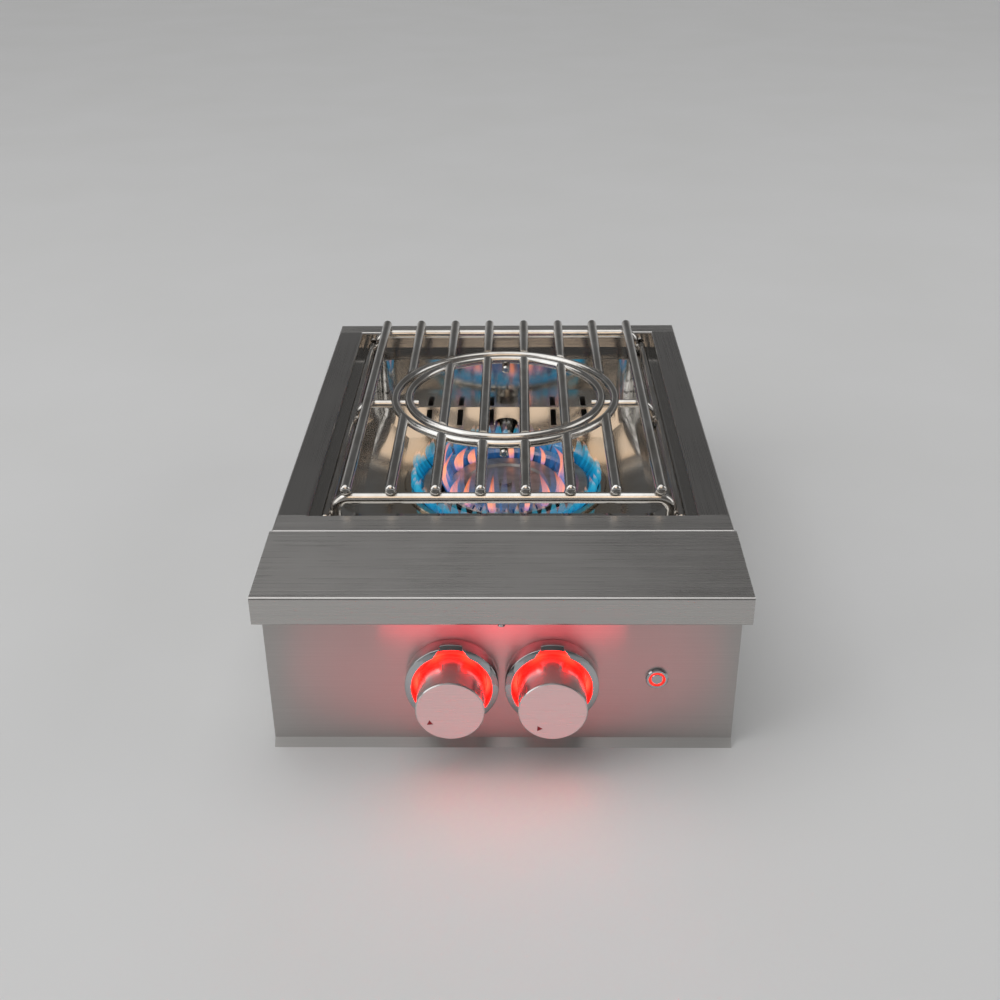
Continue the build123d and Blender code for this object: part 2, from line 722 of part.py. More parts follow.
# Venturi tubes from the controls to the burners' necks, with their air shutters, orifices and feed tubes
necks = {"left": ("outer", outer_neck_y), "right": ("inner", inner_neck_y)}
for side, sign in sides.items():
    burner, neck_y = necks[side]
    x = sign * control_x
    with BuildPart() as venturi:
        rod(
            [(x, venturi_front_y, venturi_z), (x, neck_y, venturi_z), (x, neck_y, neck_z)],
            venturi_diameter,
            venturi_bend,
        )
        with Locations(Plane(origin=(x, venturi_front_y, venturi_z), z_dir=(0, -1, 0))):
            Cylinder(venturi_diameter / 2 - sheet, 2 * venturi_mouth, mode=Mode.SUBTRACT)
    keep(venturi, f"{burner}_venturi")

    with BuildPart() as air_shutter:
        with BuildSketch(Plane(origin=(x, frame_front_y, venturi_z), x_dir=(1, 0, 0), z_dir=(0, -1, 0))):
            Circle(shutter_radius)
            Circle(venturi_diameter / 2 + weld_gap, mode=Mode.SUBTRACT)
        extrude(amount=frame_front_y - shutter_front_y)
        window_y = shutter_front_y + shutter_window / 2 + shutter_wall
        with Locations(Plane(origin=(x, window_y, venturi_z), x_dir=(1, 0, 0), z_dir=(0, -1, 0))):
            with PolarLocations(shutter_radius, shutter_windows):
                Box(venturi_diameter / 2, shutter_window, shutter_window, mode=Mode.SUBTRACT)
    keep(air_shutter, f"{burner}_air_shutter")

    with BuildPart() as orifice:
        orifice_plane = Plane(origin=(x, orifice_front_y, venturi_z), x_dir=(1, 0, 0), z_dir=(0, -1, 0))
        with BuildSketch(orifice_plane):
            RegularPolygon(orifice_across_flats / 2, 6, major_radius=False)
        extrude(amount=orifice_length)
        with BuildSketch(orifice_plane):
            Circle(orifice_nose / 2)
        extrude(amount=-orifice_gap / 2)
        with BuildSketch(orifice_plane.offset(-orifice_gap)):
            Circle(orifice_bore / 2)
        extrude(amount=2 * orifice_gap, mode=Mode.SUBTRACT)
    keep(orifice, f"{side}_orifice")

    tube_end_y = orifice_front_y - orifice_length
    tube_turn_y = (valve_rear_y + tube_end_y) / 2
    with BuildPart() as feed_tube:
        rod(
            [
                (x, valve_rear_y, control_z),
                (x, tube_turn_y, control_z),
                (x, tube_turn_y, venturi_z),
                (x, tube_end_y, venturi_z),
            ],
            feed_tube_diameter,
            tube_end_y - tube_turn_y - feed_tube_straight,
        )
    keep(feed_tube, f"{side}_feed_tube")

# Manifold pipe behind the panel, running back along the right side to the inlet fitting
pipe_end_y = rear_inner_y - inlet_collar_back
with BuildPart() as manifold_pipe:
    rod(
        [
            (-control_x - manifold_overhang, manifold_y, manifold_z),
            (supply_x, manifold_y, manifold_z),
            (supply_x, pipe_end_y, manifold_z),
        ],
        manifold_diameter,
        manifold_bend,
    )
keep(manifold_pipe, "manifold_pipe")

# Gas inlet fitting through the rear panel, with a flare thread outside
with BuildPart() as gas_inlet_fitting:
    inlet_plane = Plane(origin=(supply_x, pipe_end_y, manifold_z), x_dir=(1, 0, 0), z_dir=(0, 0, 1))
    thread_start = inlet_collar_back + sheet + inlet_collar_front
    thread_end = thread_start + inlet_thread_length
    with BuildSketch(inlet_plane):
        with BuildLine():
            Polyline(
                (0, 0),
                (inlet_collar / 2, 0),
                (inlet_collar / 2, thread_start),
                (inlet_thread / 2, thread_start),
                (inlet_thread / 2, thread_end),
                (inlet_thread / 2 - inlet_flare, thread_end + inlet_flare),
                (inlet_flare_bore / 2, thread_end + inlet_flare),
                (inlet_flare_bore / 2, thread_start),
                (0, thread_start),
                close=True,
            )
        make_face()
    revolve(axis=Axis((supply_x, pipe_end_y, manifold_z), (0, 1, 0)))
keep(gas_inlet_fitting, "gas_inlet_fitting")

# Rubber grommet for the lamp lead
with BuildPart() as cable_grommet:
    with BuildSketch(Plane(origin=(grommet_x, rear_inner_y, grommet_z), x_dir=(1, 0, 0), z_dir=(0, 0, 1))):
        with BuildLine():
            Polyline(
                (grommet_bore / 2, -grommet_lip),
                (grommet_flange / 2, -grommet_lip),
                (grommet_flange / 2, -weld_gap),
                (grommet_hole / 2 - weld_gap, -weld_gap),
                (grommet_hole / 2 - weld_gap, sheet + weld_gap),
                (grommet_flange / 2, sheet + weld_gap),
                (grommet_flange / 2, sheet + grommet_lip),
                (grommet_bore / 2, sheet + grommet_lip),
                close=True,
            )
        make_face()
    revolve(axis=Axis((grommet_x, rear_inner_y, grommet_z), (0, 1, 0)))
keep(cable_grommet, "cable_grommet")

# Knobs with all that belongs to each: bezel, LED board, light ring, stem, push collar and valve body
pointer_angles = {"left": left_pointer_angle, "right": right_pointer_angle}
knob_radius = knob_diameter / 2
stem_radius = stem_diameter / 2
collar_front = -(sheet + valve_panel_gap) - weld_gap
collar_back = collar_front - collar_length
well_back = collar_back - push_travel - weld_gap
stem_back = -(sheet + valve_panel_gap + stem_into_valve)
stem_front = knob_face - knob_face_wall - rest_gap
bezel_radius = bezel_diameter / 2
opening_radius = bezel_opening / 2
for side, sign in sides.items():
    x = sign * control_x
    with BuildPart() as knob:
        turned(
            x,
            [
                (0, knob_face),
                (knob_radius - knob_chamfer, knob_face),
                (knob_radius, knob_face - knob_chamfer),
                (knob_radius, knob_back),
                (knob_radius - knob_wall, knob_back),
                (knob_radius - knob_wall, knob_face - knob_face_wall),
                (knob_boss / 2, knob_face - knob_face_wall),
                (knob_boss / 2, knob_back + knob_boss_inset),
                (stem_radius + weld_gap, knob_back + knob_boss_inset),
                (stem_radius + weld_gap, knob_face - knob_face_wall),
                (0, knob_face - knob_face_wall),
            ],
        )
        with BuildSketch(front_plane(x, knob_face)):
            with PolarLocations(pointer_radius, 1, start_angle=pointer_angles[side]):
                RegularPolygon(pointer_size, 3)
        extrude(amount=-pointer_depth, mode=Mode.SUBTRACT)
    keep(knob, f"{side}_knob")

    with BuildPart() as valve_stem:
        turned(
            x,
            [
                (0, stem_back),
                (stem_radius, stem_back),
                (stem_radius, collar_front + weld_gap),
                (stem_shoulder / 2, collar_front + weld_gap),
                (stem_shoulder / 2, collar_front + weld_gap + stem_shoulder_length),
                (stem_radius, collar_front + weld_gap + stem_shoulder_length),
                (stem_radius, stem_front),
                (0, stem_front),
            ],
        )
    keep(valve_stem, f"{side}_valve_stem")

    with BuildPart() as push_collar:
        turned(
            x,
            [
                (stem_radius + running_gap, collar_back),
                (collar_diameter / 2, collar_back),
                (collar_diameter / 2, collar_front),
                (stem_radius + running_gap, collar_front),
            ],
        )
    keep(push_collar, f"{side}_push_collar")

    with BuildPart() as valve_body:
        with BuildSketch(front_plane(x, -(valve_front_y - panel_y))):
            Circle(valve_diameter / 2)
        extrude(amount=-valve_length)
        with BuildSketch(front_plane(x, -(valve_front_y - panel_y))):
            RectangleRounded(valve_flange_width, valve_flange_height, valve_flange_corner)
        extrude(amount=-valve_flange_thickness)
        with Locations((x, manifold_y, (control_z + manifold_z) / 2)):
            Box(valve_saddle, valve_saddle, control_z - manifold_z)
        with Locations(Plane(origin=(x, manifold_y, manifold_z), z_dir=(1, 0, 0))):
            Cylinder(manifold_diameter / 2 + weld_gap, 2 * valve_flange_width, mode=Mode.SUBTRACT)
        with BuildSketch(front_plane(x, -(valve_front_y - panel_y))):
            Circle(collar_diameter / 2 + running_gap)
        extrude(amount=valve_front_y - panel_y + well_back, mode=Mode.SUBTRACT)
        with BuildSketch(front_plane(x, -(valve_front_y - panel_y))):
            Circle(stem_radius + running_gap)
        extrude(amount=-(stem_into_valve + 2 * push_travel), mode=Mode.SUBTRACT)
    keep(valve_body, f"{side}_valve_body")

    with BuildPart() as bezel:
        turned(
            x,
            [
                (opening_radius, 0),
                (bezel_radius, 0),
                (bezel_radius, bezel_skirt),
                (opening_radius + bezel_rim, bezel_height),
                (opening_radius, bezel_height),
            ],
        )
        with BuildSketch(front_plane(x, bezel_height - notch_depth)):
            with BuildLine():
                Polyline(
                    (-notch_inner / 2, opening_radius - notch_inset),
                    (-notch_outer / 2, bezel_radius + notch_overcut),
                    (notch_outer / 2, bezel_radius + notch_overcut),
                    (notch_inner / 2, opening_radius - notch_inset),
                    close=True,
                )
            make_face()
        extrude(amount=2 * notch_depth, mode=Mode.SUBTRACT)
    keep(bezel, f"{side}_bezel")

    with BuildPart() as led_board:
        with BuildSketch(front_plane(x)):
            Circle(opening_radius - weld_gap)
            Circle(light_ring_bore / 2, mode=Mode.SUBTRACT)
        extrude(amount=led_board_thickness)
    keep(led_board, f"{side}_led_board")

    with BuildPart() as light_ring:
        with BuildSketch(front_plane(x, led_board_thickness + weld_gap)):
            Circle(opening_radius - weld_gap)
            Circle(light_ring_bore / 2, mode=Mode.SUBTRACT)
        extrude(amount=light_ring_height)
    keep(light_ring, f"{side}_light_ring")

# Lit push switch: threaded body with a bezel, a glowing ring, the button and a back nut
switch_well_depth = switch_button_height + switch_travel + switch_floor_gap
well_floor = switch_bezel_height - switch_well_depth
with BuildPart() as switch_body:
    turned(
        switch_x,
        [
            (0, -switch_length),
            (switch_hole / 2 - weld_gap, -switch_length),
            (switch_hole / 2 - weld_gap, 0),
            (switch_bezel / 2, 0),
            (switch_bezel / 2, switch_bezel_height - switch_bezel_chamfer),
            (switch_bezel / 2 - switch_bezel_chamfer, switch_bezel_height),
            (switch_well / 2, switch_bezel_height),
            (switch_well / 2, well_floor),
            (0, well_floor),
        ],
    )
keep(switch_body, "switch_body")

with BuildPart() as switch_light_ring:
    with BuildSketch(front_plane(switch_x, well_floor)):
        Circle(switch_well / 2 - weld_gap)
        Circle(switch_ring_bore / 2, mode=Mode.SUBTRACT)
    extrude(amount=switch_well_depth - switch_ring_recess)
keep(switch_light_ring, "switch_light_ring")

with BuildPart() as switch_button:
    with BuildSketch(front_plane(switch_x, switch_bezel_height - switch_button_height)):
        Circle(switch_ring_bore / 2 - running_gap)
    extrude(amount=switch_button_height)
    chamfer(switch_button.faces().sort_by(Axis.Y)[0].edges(), switch_bezel_chamfer / 2)
keep(switch_button, "switch_button")

with BuildPart() as switch_back_nut:
    with BuildSketch(front_plane(switch_x, -sheet)):
        RegularPolygon(switch_nut / 2, 6, major_radius=False)
        Circle(switch_hole / 2, mode=Mode.SUBTRACT)
    extrude(amount=-switch_nut_thickness)
keep(switch_back_nut, "switch_nut")

# Grate bars: two run the whole length, the others stop at the ring
bar_radius = bar_diameter / 2
ring_rod_radius = ring_rod / 2
cope_radius = grate_ring_radius + cope_setback
with BuildPart() as grate_long_bars:
    with BuildSketch(Plane.XZ):
        with Locations((bar_places[0], bar_z), (bar_places[-1], bar_z)):
            Circle(bar_radius)
    extrude(amount=bar_half_length, both=True)
    fillet(grate_long_bars.faces().filter_by(Axis.Y).edges(), bar_dome)
keep(grate_long_bars, "grate_long_bars")

for place, sign in {"front": 1, "rear": -1}.items():
    with BuildPart() as short_bars:
        with BuildSketch(Plane.XZ):
            with Locations(*[(x, bar_z) for x in bar_places[1:-1]]):
                Circle(bar_radius)
        extrude(amount=sign * bar_half_length)
        ends = short_bars.faces().filter_by(Axis.Y).sort_by(Axis.Y, reverse=sign < 0)
        fillet(ends[: bars - 2].edges(), bar_dome)
        with Locations((0, 0, bar_z)):
            Cylinder(cope_radius, 2 * bar_diameter, mode=Mode.SUBTRACT)
        with Locations((0, 0, grate_ring_z)):
            Torus(grate_ring_radius, ring_rod_radius + weld_gap, mode=Mode.SUBTRACT)
    keep(short_bars, f"grate_{place}_bars")

with BuildPart() as grate_ring:
    with Locations((0, 0, grate_ring_z)):
        Torus(grate_ring_radius, ring_rod_radius)
keep(grate_ring, "grate_ring")

# Crossbars under the bars, bent down at both ends to the side rods
for place, sign in {"front": -1, "rear": 1}.items():
    y = sign * crossbar_y
    with BuildPart() as crossbar:
        rod(
            [
                (-crossbar_leg_x, y, leg_foot_z),
                (-crossbar_leg_x, y, crossbar_z),
                (crossbar_leg_x, y, crossbar_z),
                (crossbar_leg_x, y, leg_foot_z),
            ],
            bar_diameter,
            rod_bend,
        )
    keep(crossbar, f"grate_{place}_crossbar")

# Side stubs: bent rods that run in under both rings and carry the drop-in centre
with BuildPart() as side_stubs:
    for sign in sides.values():
        rod(
            [
                (sign * stub_leg_x, 0, leg_foot_z),
                (sign * stub_leg_x, 0, stub_z),
                (sign * stub_reach, 0, stub_z),
            ],
            ring_rod,
            rod_bend,
        )
keep(side_stubs, "grate_side_stubs")

# Ring pegs: short rods under the rings at the front and the rear
peg_end = grate_ring_radius + peg_overhang
with BuildPart() as ring_pegs:
    with BuildSketch(Plane.XZ.offset(stub_reach)):
        with Locations((0, stub_z)):
            Circle(ring_rod_radius)
    extrude(amount=peg_end - stub_reach)
    with BuildSketch(Plane.XZ.offset(-stub_reach)):
        with Locations((0, stub_z)):
            Circle(ring_rod_radius)
    extrude(amount=stub_reach - peg_end)
    chamfer(ring_pegs.faces().filter_by(Axis.Y).edges(), peg_chamfer)
keep(ring_pegs, "grate_ring_pegs")

# Side rods: the feet of the grate, lying on the firebox ledge
with BuildPart() as side_rods:
    with BuildSketch(Plane.XZ):
        with Locations((-side_rod_x, side_rod_z), (side_rod_x, side_rod_z)):
            Circle(ring_rod_radius)
    extrude(amount=side_rod_half_length, both=True)
    chamfer(side_rods.faces().filter_by(Axis.Y).edges(), rod_chamfer)
keep(side_rods, "grate_side_rods")

# Drop-in centre: a smaller ring with bars across it
with BuildPart() as centre_ring:
    with Locations((0, 0, centre_ring_z)):
        Torus(centre_ring_radius, ring_rod_radius)
keep(centre_ring, "centre_ring")

inner_cope_radius = centre_ring_radius - cope_setback
first_centre_bar = (bars - centre_bars) // 2
centre_places = bar_places[first_centre_bar : first_centre_bar + centre_bars]
with BuildPart() as centre_bar_set:
    with BuildSketch(Plane.XZ):
        with Locations(*[(x, bar_z) for x in centre_places]):
            Circle(bar_radius)
    extrude(amount=centre_ring_radius, both=True)
    with Locations((0, 0, bar_z)):
        Cylinder(inner_cope_radius, 2 * bar_diameter, mode=Mode.INTERSECT)
    with Locations((0, 0, centre_ring_z)):
        Torus(centre_ring_radius, ring_rod_radius + weld_gap, mode=Mode.SUBTRACT)
keep(centre_bar_set, "centre_bars")
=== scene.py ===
# %% [markdown]
# # Dressing a built-in power burner
# The frame brings every piece of the burner in at its real size: sheet metal, rods, knobs and the gas
# parts. This lesson gives each piece the finish that it has on the real burner, adds the small things that
# a drawing leaves out, such as weld beads, screw heads and a thread, and lights it in a plain studio.

# %% Load the frame
import math
import random

import bmesh
import bpy
from mathutils import Matrix, Vector


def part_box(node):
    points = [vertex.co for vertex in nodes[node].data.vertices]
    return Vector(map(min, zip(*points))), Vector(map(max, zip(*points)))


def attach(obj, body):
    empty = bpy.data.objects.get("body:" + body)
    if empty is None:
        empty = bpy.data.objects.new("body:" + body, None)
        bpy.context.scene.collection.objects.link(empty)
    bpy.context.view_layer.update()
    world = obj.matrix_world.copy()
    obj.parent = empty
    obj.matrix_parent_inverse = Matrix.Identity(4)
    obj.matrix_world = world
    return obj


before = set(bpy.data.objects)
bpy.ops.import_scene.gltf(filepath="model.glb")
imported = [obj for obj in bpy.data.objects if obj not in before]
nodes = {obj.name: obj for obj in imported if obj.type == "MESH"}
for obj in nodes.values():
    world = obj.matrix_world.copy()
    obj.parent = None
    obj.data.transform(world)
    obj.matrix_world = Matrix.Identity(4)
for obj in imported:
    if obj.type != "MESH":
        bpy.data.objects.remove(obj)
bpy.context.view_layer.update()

mm = 0.001

# %% [markdown]
# ## The camera
# A photograph fixes its camera: the frame's straight edges and the evenly spaced bars leave one place and
# one lens that fit them all. It could be set by eye, but a place worked out from those lines keeps every
# later comparison honest. The three angles turn a level camera that looks along +Y.

# %% Stand the camera where the photograph was taken
camera_place = Vector((0.01304, -1.1258, 0.66045))
pitch, yaw, roll = math.radians(28.58), math.radians(-0.96), math.radians(-0.51)
focal_pixels = 1248.83
photo_pixels = 1000

forward = Vector((math.sin(yaw) * math.cos(pitch), math.cos(yaw) * math.cos(pitch), -math.sin(pitch)))
level_right = Vector((math.cos(yaw), -math.sin(yaw), 0))
level_up = level_right.cross(forward)
right = math.cos(roll) * level_right + math.sin(roll) * level_up
up = math.cos(roll) * level_up - math.sin(roll) * level_right

lens = bpy.data.cameras.new("photo_camera")
lens.lens = lens.sensor_width * focal_pixels / photo_pixels
camera = bpy.data.objects.new("photo_camera", lens)
camera.matrix_world = Matrix.Translation(camera_place) @ Matrix((right, up, -forward)).transposed().to_4x4()
bpy.context.scene.collection.objects.link(camera)
bpy.context.scene.camera = camera
bpy.context.scene.view_settings.view_transform = "Standard"
print("lens", round(lens.lens, 2), "mm")

# %% [markdown]
# ## Helpers for finishes
# Every finish here is a Principled shader with a few textures. The textures read the object's own
# coordinates, which are metres in the shared frame, so a grain of half a millimetre is the same on every
# piece and rides along when the piece moves. Stretching a noise along one axis turns dots into brush marks.


# %% Small tools that start a finish
def finish(name, colour, metallic, roughness):
    """A new material: gives back the material, its node tree and its shader."""
    material = bpy.data.materials.new(name)
    material.use_nodes = True
    shader = material.node_tree.nodes["Principled BSDF"]
    shader.inputs["Base Color"].default_value = (*colour, 1)
    shader.inputs["Metallic"].default_value = metallic
    shader.inputs["Roughness"].default_value = roughness
    return material, material.node_tree, shader


def place_of(tree):
    """The point being shaded, in metres in the shared frame."""
    return tree.nodes.new("ShaderNodeTexCoord").outputs["Object"]


def noise(tree, per_metre, detail=3.0, place=None):
    """A noise with so many features in each metre along X, Y and Z."""
    mapping = tree.nodes.new("ShaderNodeMapping")
    mapping.inputs["Scale"].default_value = per_metre
    tree.links.new(place or place_of(tree), mapping.inputs["Vector"])
    texture = tree.nodes.new("ShaderNodeTexNoise")
    texture.inputs["Scale"].default_value = 1
    texture.inputs["Detail"].default_value = detail
    tree.links.new(mapping.outputs["Vector"], texture.inputs["Vector"])
    return texture.outputs["Fac"]


# %% [markdown]
# A noise gives a plain number from 0 to 1 at each place, and a finish is made of colours, roughness and
# relief. The next helpers turn the one into the other: a Map Range node stretches a number, a Math node
# joins two, a colour ramp gives a number its colours, and a bump lets it stand up from the surface.


# %% Small tools that turn a number into a look
def between(tree, value, low, high, start=0.3, end=0.7):
    """Spread a value that runs from start to end over low to high."""
    spread = tree.nodes.new("ShaderNodeMapRange")
    for socket, number in (("From Min", start), ("From Max", end), ("To Min", low), ("To Max", high)):
        spread.inputs[socket].default_value = number
    tree.links.new(value, spread.inputs["Value"])
    return spread.outputs["Result"]


def sums(tree, operation, first, second=None):
    """One Math node. Each input is a socket or a number."""
    node = tree.nodes.new("ShaderNodeMath")
    node.operation = operation
    for socket, value in zip(node.inputs, (first, second)):
        if isinstance(value, bpy.types.NodeSocket):
            tree.links.new(value, socket)
        elif value is not None:
            socket.default_value = value
    return node.outputs["Value"]


def shades(tree, value, *stops):
    """Colours along a value from 0 to 1. A stop is (position, colour)."""
    ramp = tree.nodes.new("ShaderNodeValToRGB")
    while len(ramp.color_ramp.elements) < len(stops):
        ramp.color_ramp.elements.new(1)
    for element, (position, colour) in zip(ramp.color_ramp.elements, stops):
        element.position = position
        element.color = (*colour, 1)
    tree.links.new(value, ramp.inputs["Fac"])
    return ramp.outputs["Color"]


def relief(tree, shader, value, height):
    """Let a value stand up from the surface by up to height metres."""
    bump = tree.nodes.new("ShaderNodeBump")
    bump.inputs["Strength"].default_value = 1
    bump.inputs["Distance"].default_value = height
    tree.links.new(value, bump.inputs["Height"])
    tree.links.new(bump.outputs["Normal"], shader.inputs["Normal"])


def paint(material, *names):
    """Give CAD nodes a finish."""
    for name in names:
        for slot in nodes[name].material_slots:
            slot.material = material


# %% [markdown]
# ## Brushed stainless sheet
# The housing is stainless sheet with a long brushed grain: left to right on the control panel, the canopy
# and the front strip, and front to back on the side strips. A picture of brushed steel would repeat and
# smear round the bends. Two stretched noises do it better: a fine one for the single scratches, which also
# stands up as relief, and a coarse one for the broad paler and darker bands. Brushed steel also smears what
# it mirrors across its grain, so a lit knob becomes a tall streak on the panel. A tangent that is square to
# the grain and a high anisotropy make that smear. Where a sheet is folded round to face the side, its
# grain goes round the corner with it.

# %% Turn the grain where the sheet is folded
square_on = 0.7


def facing(tree, axis):
    """1 where the surface faces along X or along Y, to either side."""
    split = tree.nodes.new("ShaderNodeSeparateXYZ")
    tree.links.new(tree.nodes.new("ShaderNodeNewGeometry").outputs["Normal"], split.inputs[0])
    return sums(tree, "GREATER_THAN", sums(tree, "ABSOLUTE", split.outputs[axis]), square_on)


def grain_turn(tree, lengthwise):
    """0 where the grain runs along X and 1 where it runs along Y. A fold keeps it within the sheet."""
    kept = sums(tree, "MULTIPLY", sums(tree, "SUBTRACT", 1, facing(tree, "Y")), lengthwise)
    return sums(tree, "MAXIMUM", kept, facing(tree, "X"))


def turned_place(tree, turn):
    """The place, with X and Y changed over where the grain is turned."""
    split = tree.nodes.new("ShaderNodeSeparateXYZ")
    tree.links.new(place_of(tree), split.inputs[0])
    swing = sums(tree, "MULTIPLY", turn, sums(tree, "SUBTRACT", split.outputs["Y"], split.outputs["X"]))
    turned = tree.nodes.new("ShaderNodeCombineXYZ")
    tree.links.new(sums(tree, "ADD", split.outputs["X"], swing), turned.inputs["X"])
    tree.links.new(sums(tree, "SUBTRACT", split.outputs["Y"], swing), turned.inputs["Y"])
    tree.links.new(split.outputs["Z"], turned.inputs["Z"])
    return turned.outputs["Vector"]


def square_to_grain(tree, turn):
    """A direction in the surface, square to the grain."""
    axis = tree.nodes.new("ShaderNodeCombineXYZ")
    tree.links.new(sums(tree, "SUBTRACT", 1, turn), axis.inputs["X"])
    tree.links.new(turn, axis.inputs["Y"])
    square = tree.nodes.new("ShaderNodeVectorMath")
    square.operation = "CROSS_PRODUCT"
    tree.links.new(tree.nodes.new("ShaderNodeNewGeometry").outputs["Normal"], square.inputs[0])
    tree.links.new(axis.outputs["Vector"], square.inputs[1])
    return square.outputs["Vector"]


print("grain turns on faces within", round(math.degrees(math.acos(square_on))), "degrees of an axis")

# %% Brushed steel with a grain along a chosen axis
steel_colour = (0.52, 0.505, 0.49)
streak_shades = (0.96, 1.03)
scratches_per_metre = 1700
bands_per_metre = 260
along_per_metre = 9
clouds_per_metre = 9
band_share = 0.15
scratch_height = 0.03 * mm
scratch_dulling = 0.03
cloud_dulling = 0.02


def grain(tree, place):
    """Scratches and faint bands along the turned place's X axis, as one value about 0.5."""
    scratches = noise(tree, (along_per_metre, scratches_per_metre, scratches_per_metre), 2, place)
    bands = noise(tree, (along_per_metre, bands_per_metre, bands_per_metre), 4, place)
    fine = sums(tree, "MULTIPLY", scratches, 1 - band_share)
    return sums(tree, "ADD", fine, sums(tree, "MULTIPLY", bands, band_share))


def brush(tree, shader, lengthwise, smear, dull):
    """Let the streaks colour and roughen the steel, and smear what it mirrors across the grain."""
    turn = grain_turn(tree, lengthwise)
    place = turned_place(tree, turn)
    streaks = grain(tree, place)
    dark, light = [tuple(c * share for c in steel_colour) for share in streak_shades]
    tree.links.new(shades(tree, streaks, (0.35, dark), (0.65, light)), shader.inputs["Base Color"])
    relief(tree, shader, streaks, scratch_height)
    tree.links.new(square_to_grain(tree, turn), shader.inputs["Tangent"])
    shader.inputs["Anisotropic"].default_value = smear
    clouds = noise(tree, (clouds_per_metre,) * 3, 3, place)
    clouds = between(tree, clouds, -cloud_dulling, cloud_dulling)
    return sums(tree, "ADD", between(tree, streaks, dull - scratch_dulling, dull + scratch_dulling), clouds)


def brushed(name, lengthwise, smear, dull):
    """Brushed sheet. lengthwise is 0 for a grain along X and 1 for a grain along Y."""
    material, tree, shader = finish(name, steel_colour, 1, dull)
    tree.links.new(brush(tree, shader, lengthwise, smear, dull), shader.inputs["Roughness"])
    return material


strong_smear, faint_smear = 0.9, 0.55
panel_dull, top_dull, side_dull = 0.37, 0.29, 0.34
panel_steel = brushed("panel_steel", 0, strong_smear, panel_dull)
paint(panel_steel, "control_panel", "rear_panel", "fire_wall")
paint(brushed("canopy_steel", 0, faint_smear, top_dull), "front_canopy")
side_steel = brushed("side_steel", 1, strong_smear, side_dull)
paint(side_steel, "left_side_panel", "right_side_panel", "base_pan")
print("grain: one scratch every", round(1000 / scratches_per_metre, 2), "mm")

# %% [markdown]
# ## The top frame
# The frame is folded from one sheet, but it is brushed strip by strip: the front and rear strips across,
# the side strips front to back, and the step down to the firebox is left bright from rolling. One finish
# covers it all. Comparing the place with the opening's edges gives a mask for each of these areas.

# %% Brushed strips and a bright step
frame_low, frame_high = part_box("top_frame")
side_strip = 26.25 * mm
front_strip = 27.3 * mm
rear_strip = 22.7 * mm
opening_half = frame_high.x - side_strip
opening_front = frame_low.y + front_strip
opening_rear = frame_high.y - rear_strip
bend = 2.5 * mm
step_share = 0.45

frame_finish, frame_tree, frame_shader = finish("frame_steel", steel_colour, 1, 0.3)
frame_split = frame_tree.nodes.new("ShaderNodeSeparateXYZ")
frame_tree.links.new(place_of(frame_tree), frame_split.inputs[0])
from_middle = sums(frame_tree, "ABSOLUTE", frame_split.outputs["X"])
beside = sums(frame_tree, "GREATER_THAN", from_middle, opening_half)
behind_front = sums(frame_tree, "GREATER_THAN", frame_split.outputs["Y"], opening_front)
before_rear = sums(frame_tree, "LESS_THAN", frame_split.outputs["Y"], opening_rear)
lengthwise = sums(frame_tree, "MULTIPLY", beside, sums(frame_tree, "MULTIPLY", behind_front, before_rear))
frame_rough = brush(frame_tree, frame_shader, lengthwise, faint_smear, top_dull)
below_top = sums(frame_tree, "LESS_THAN", frame_split.outputs["Z"], frame_high.z - bend)
bright_step = between(frame_tree, below_top, 1.0, step_share, 0, 1)
strip_rough = sums(frame_tree, "MULTIPLY", frame_rough, bright_step)
frame_tree.links.new(strip_rough, frame_shader.inputs["Roughness"])
paint(frame_finish, "top_frame")
print("opening", round(2 * opening_half / mm, 1), "by", round((opening_rear - opening_front) / mm, 1), "mm")

# %% [markdown]
# ## Polished firebox
# The firebox walls, the hopper and the bowl are polished until they mirror the flames. Mirrors are never
# perfect: wiping leaves faint marks, and heat stains the steel straw and blue near the burner. The stain
# follows the distance from the burner's axis, so it stays a ring, as it does on the real bowl.

# %% Polished, heat-stained steel
polished_colour = (0.66, 0.645, 0.62)
mirror_rough = (0.08, 0.14)
wipes_per_metre = 30
ripples_per_metre = 9
stain_from, stain_to = 40 * mm, 150 * mm
stain_wander = 12 * mm
ripple_height = 0.08 * mm


def polished(name, stain):
    """Mirror-bright steel, with a ring of heat stain round the burner's axis where stain is True."""
    material, tree, shader = finish(name, polished_colour, 1, 0.1)
    place = place_of(tree)
    wiped = noise(tree, (wipes_per_metre,) * 3, 4, place)
    ripple = noise(tree, (ripples_per_metre,) * 3, 1, place)
    tree.links.new(between(tree, wiped, *mirror_rough), shader.inputs["Roughness"])
    if stain:
        spot = tree.nodes.new("ShaderNodeVectorMath")
        spot.operation = "MULTIPLY"
        spot.inputs[1].default_value = (1, 1, 0)
        tree.links.new(place, spot.inputs[0])
        length = tree.nodes.new("ShaderNodeVectorMath")
        length.operation = "LENGTH"
        tree.links.new(spot.outputs["Vector"], length.inputs[0])
        wander = between(tree, wiped, -stain_wander, stain_wander)
        far = sums(tree, "ADD", length.outputs["Value"], wander)
        ring = between(tree, far, 0, 1, stain_from, stain_to)
        colours = shades(
            tree,
            ring,
            (0.0, (0.34, 0.33, 0.36)),
            (0.3, (0.42, 0.43, 0.50)),
            (0.55, (0.60, 0.52, 0.42)),
            (1.0, polished_colour),
        )
        tree.links.new(colours, shader.inputs["Base Color"])
    relief(tree, shader, ripple, ripple_height)
    return material


paint(polished("firebox_polish", False), "firebox_liner", "igniter_shroud")
paint(polished("bowl_polish", True), "hopper_floor", "burner_bowl")
print("heat stain from", stain_from / mm, "to", stain_to / mm, "mm from the axis")

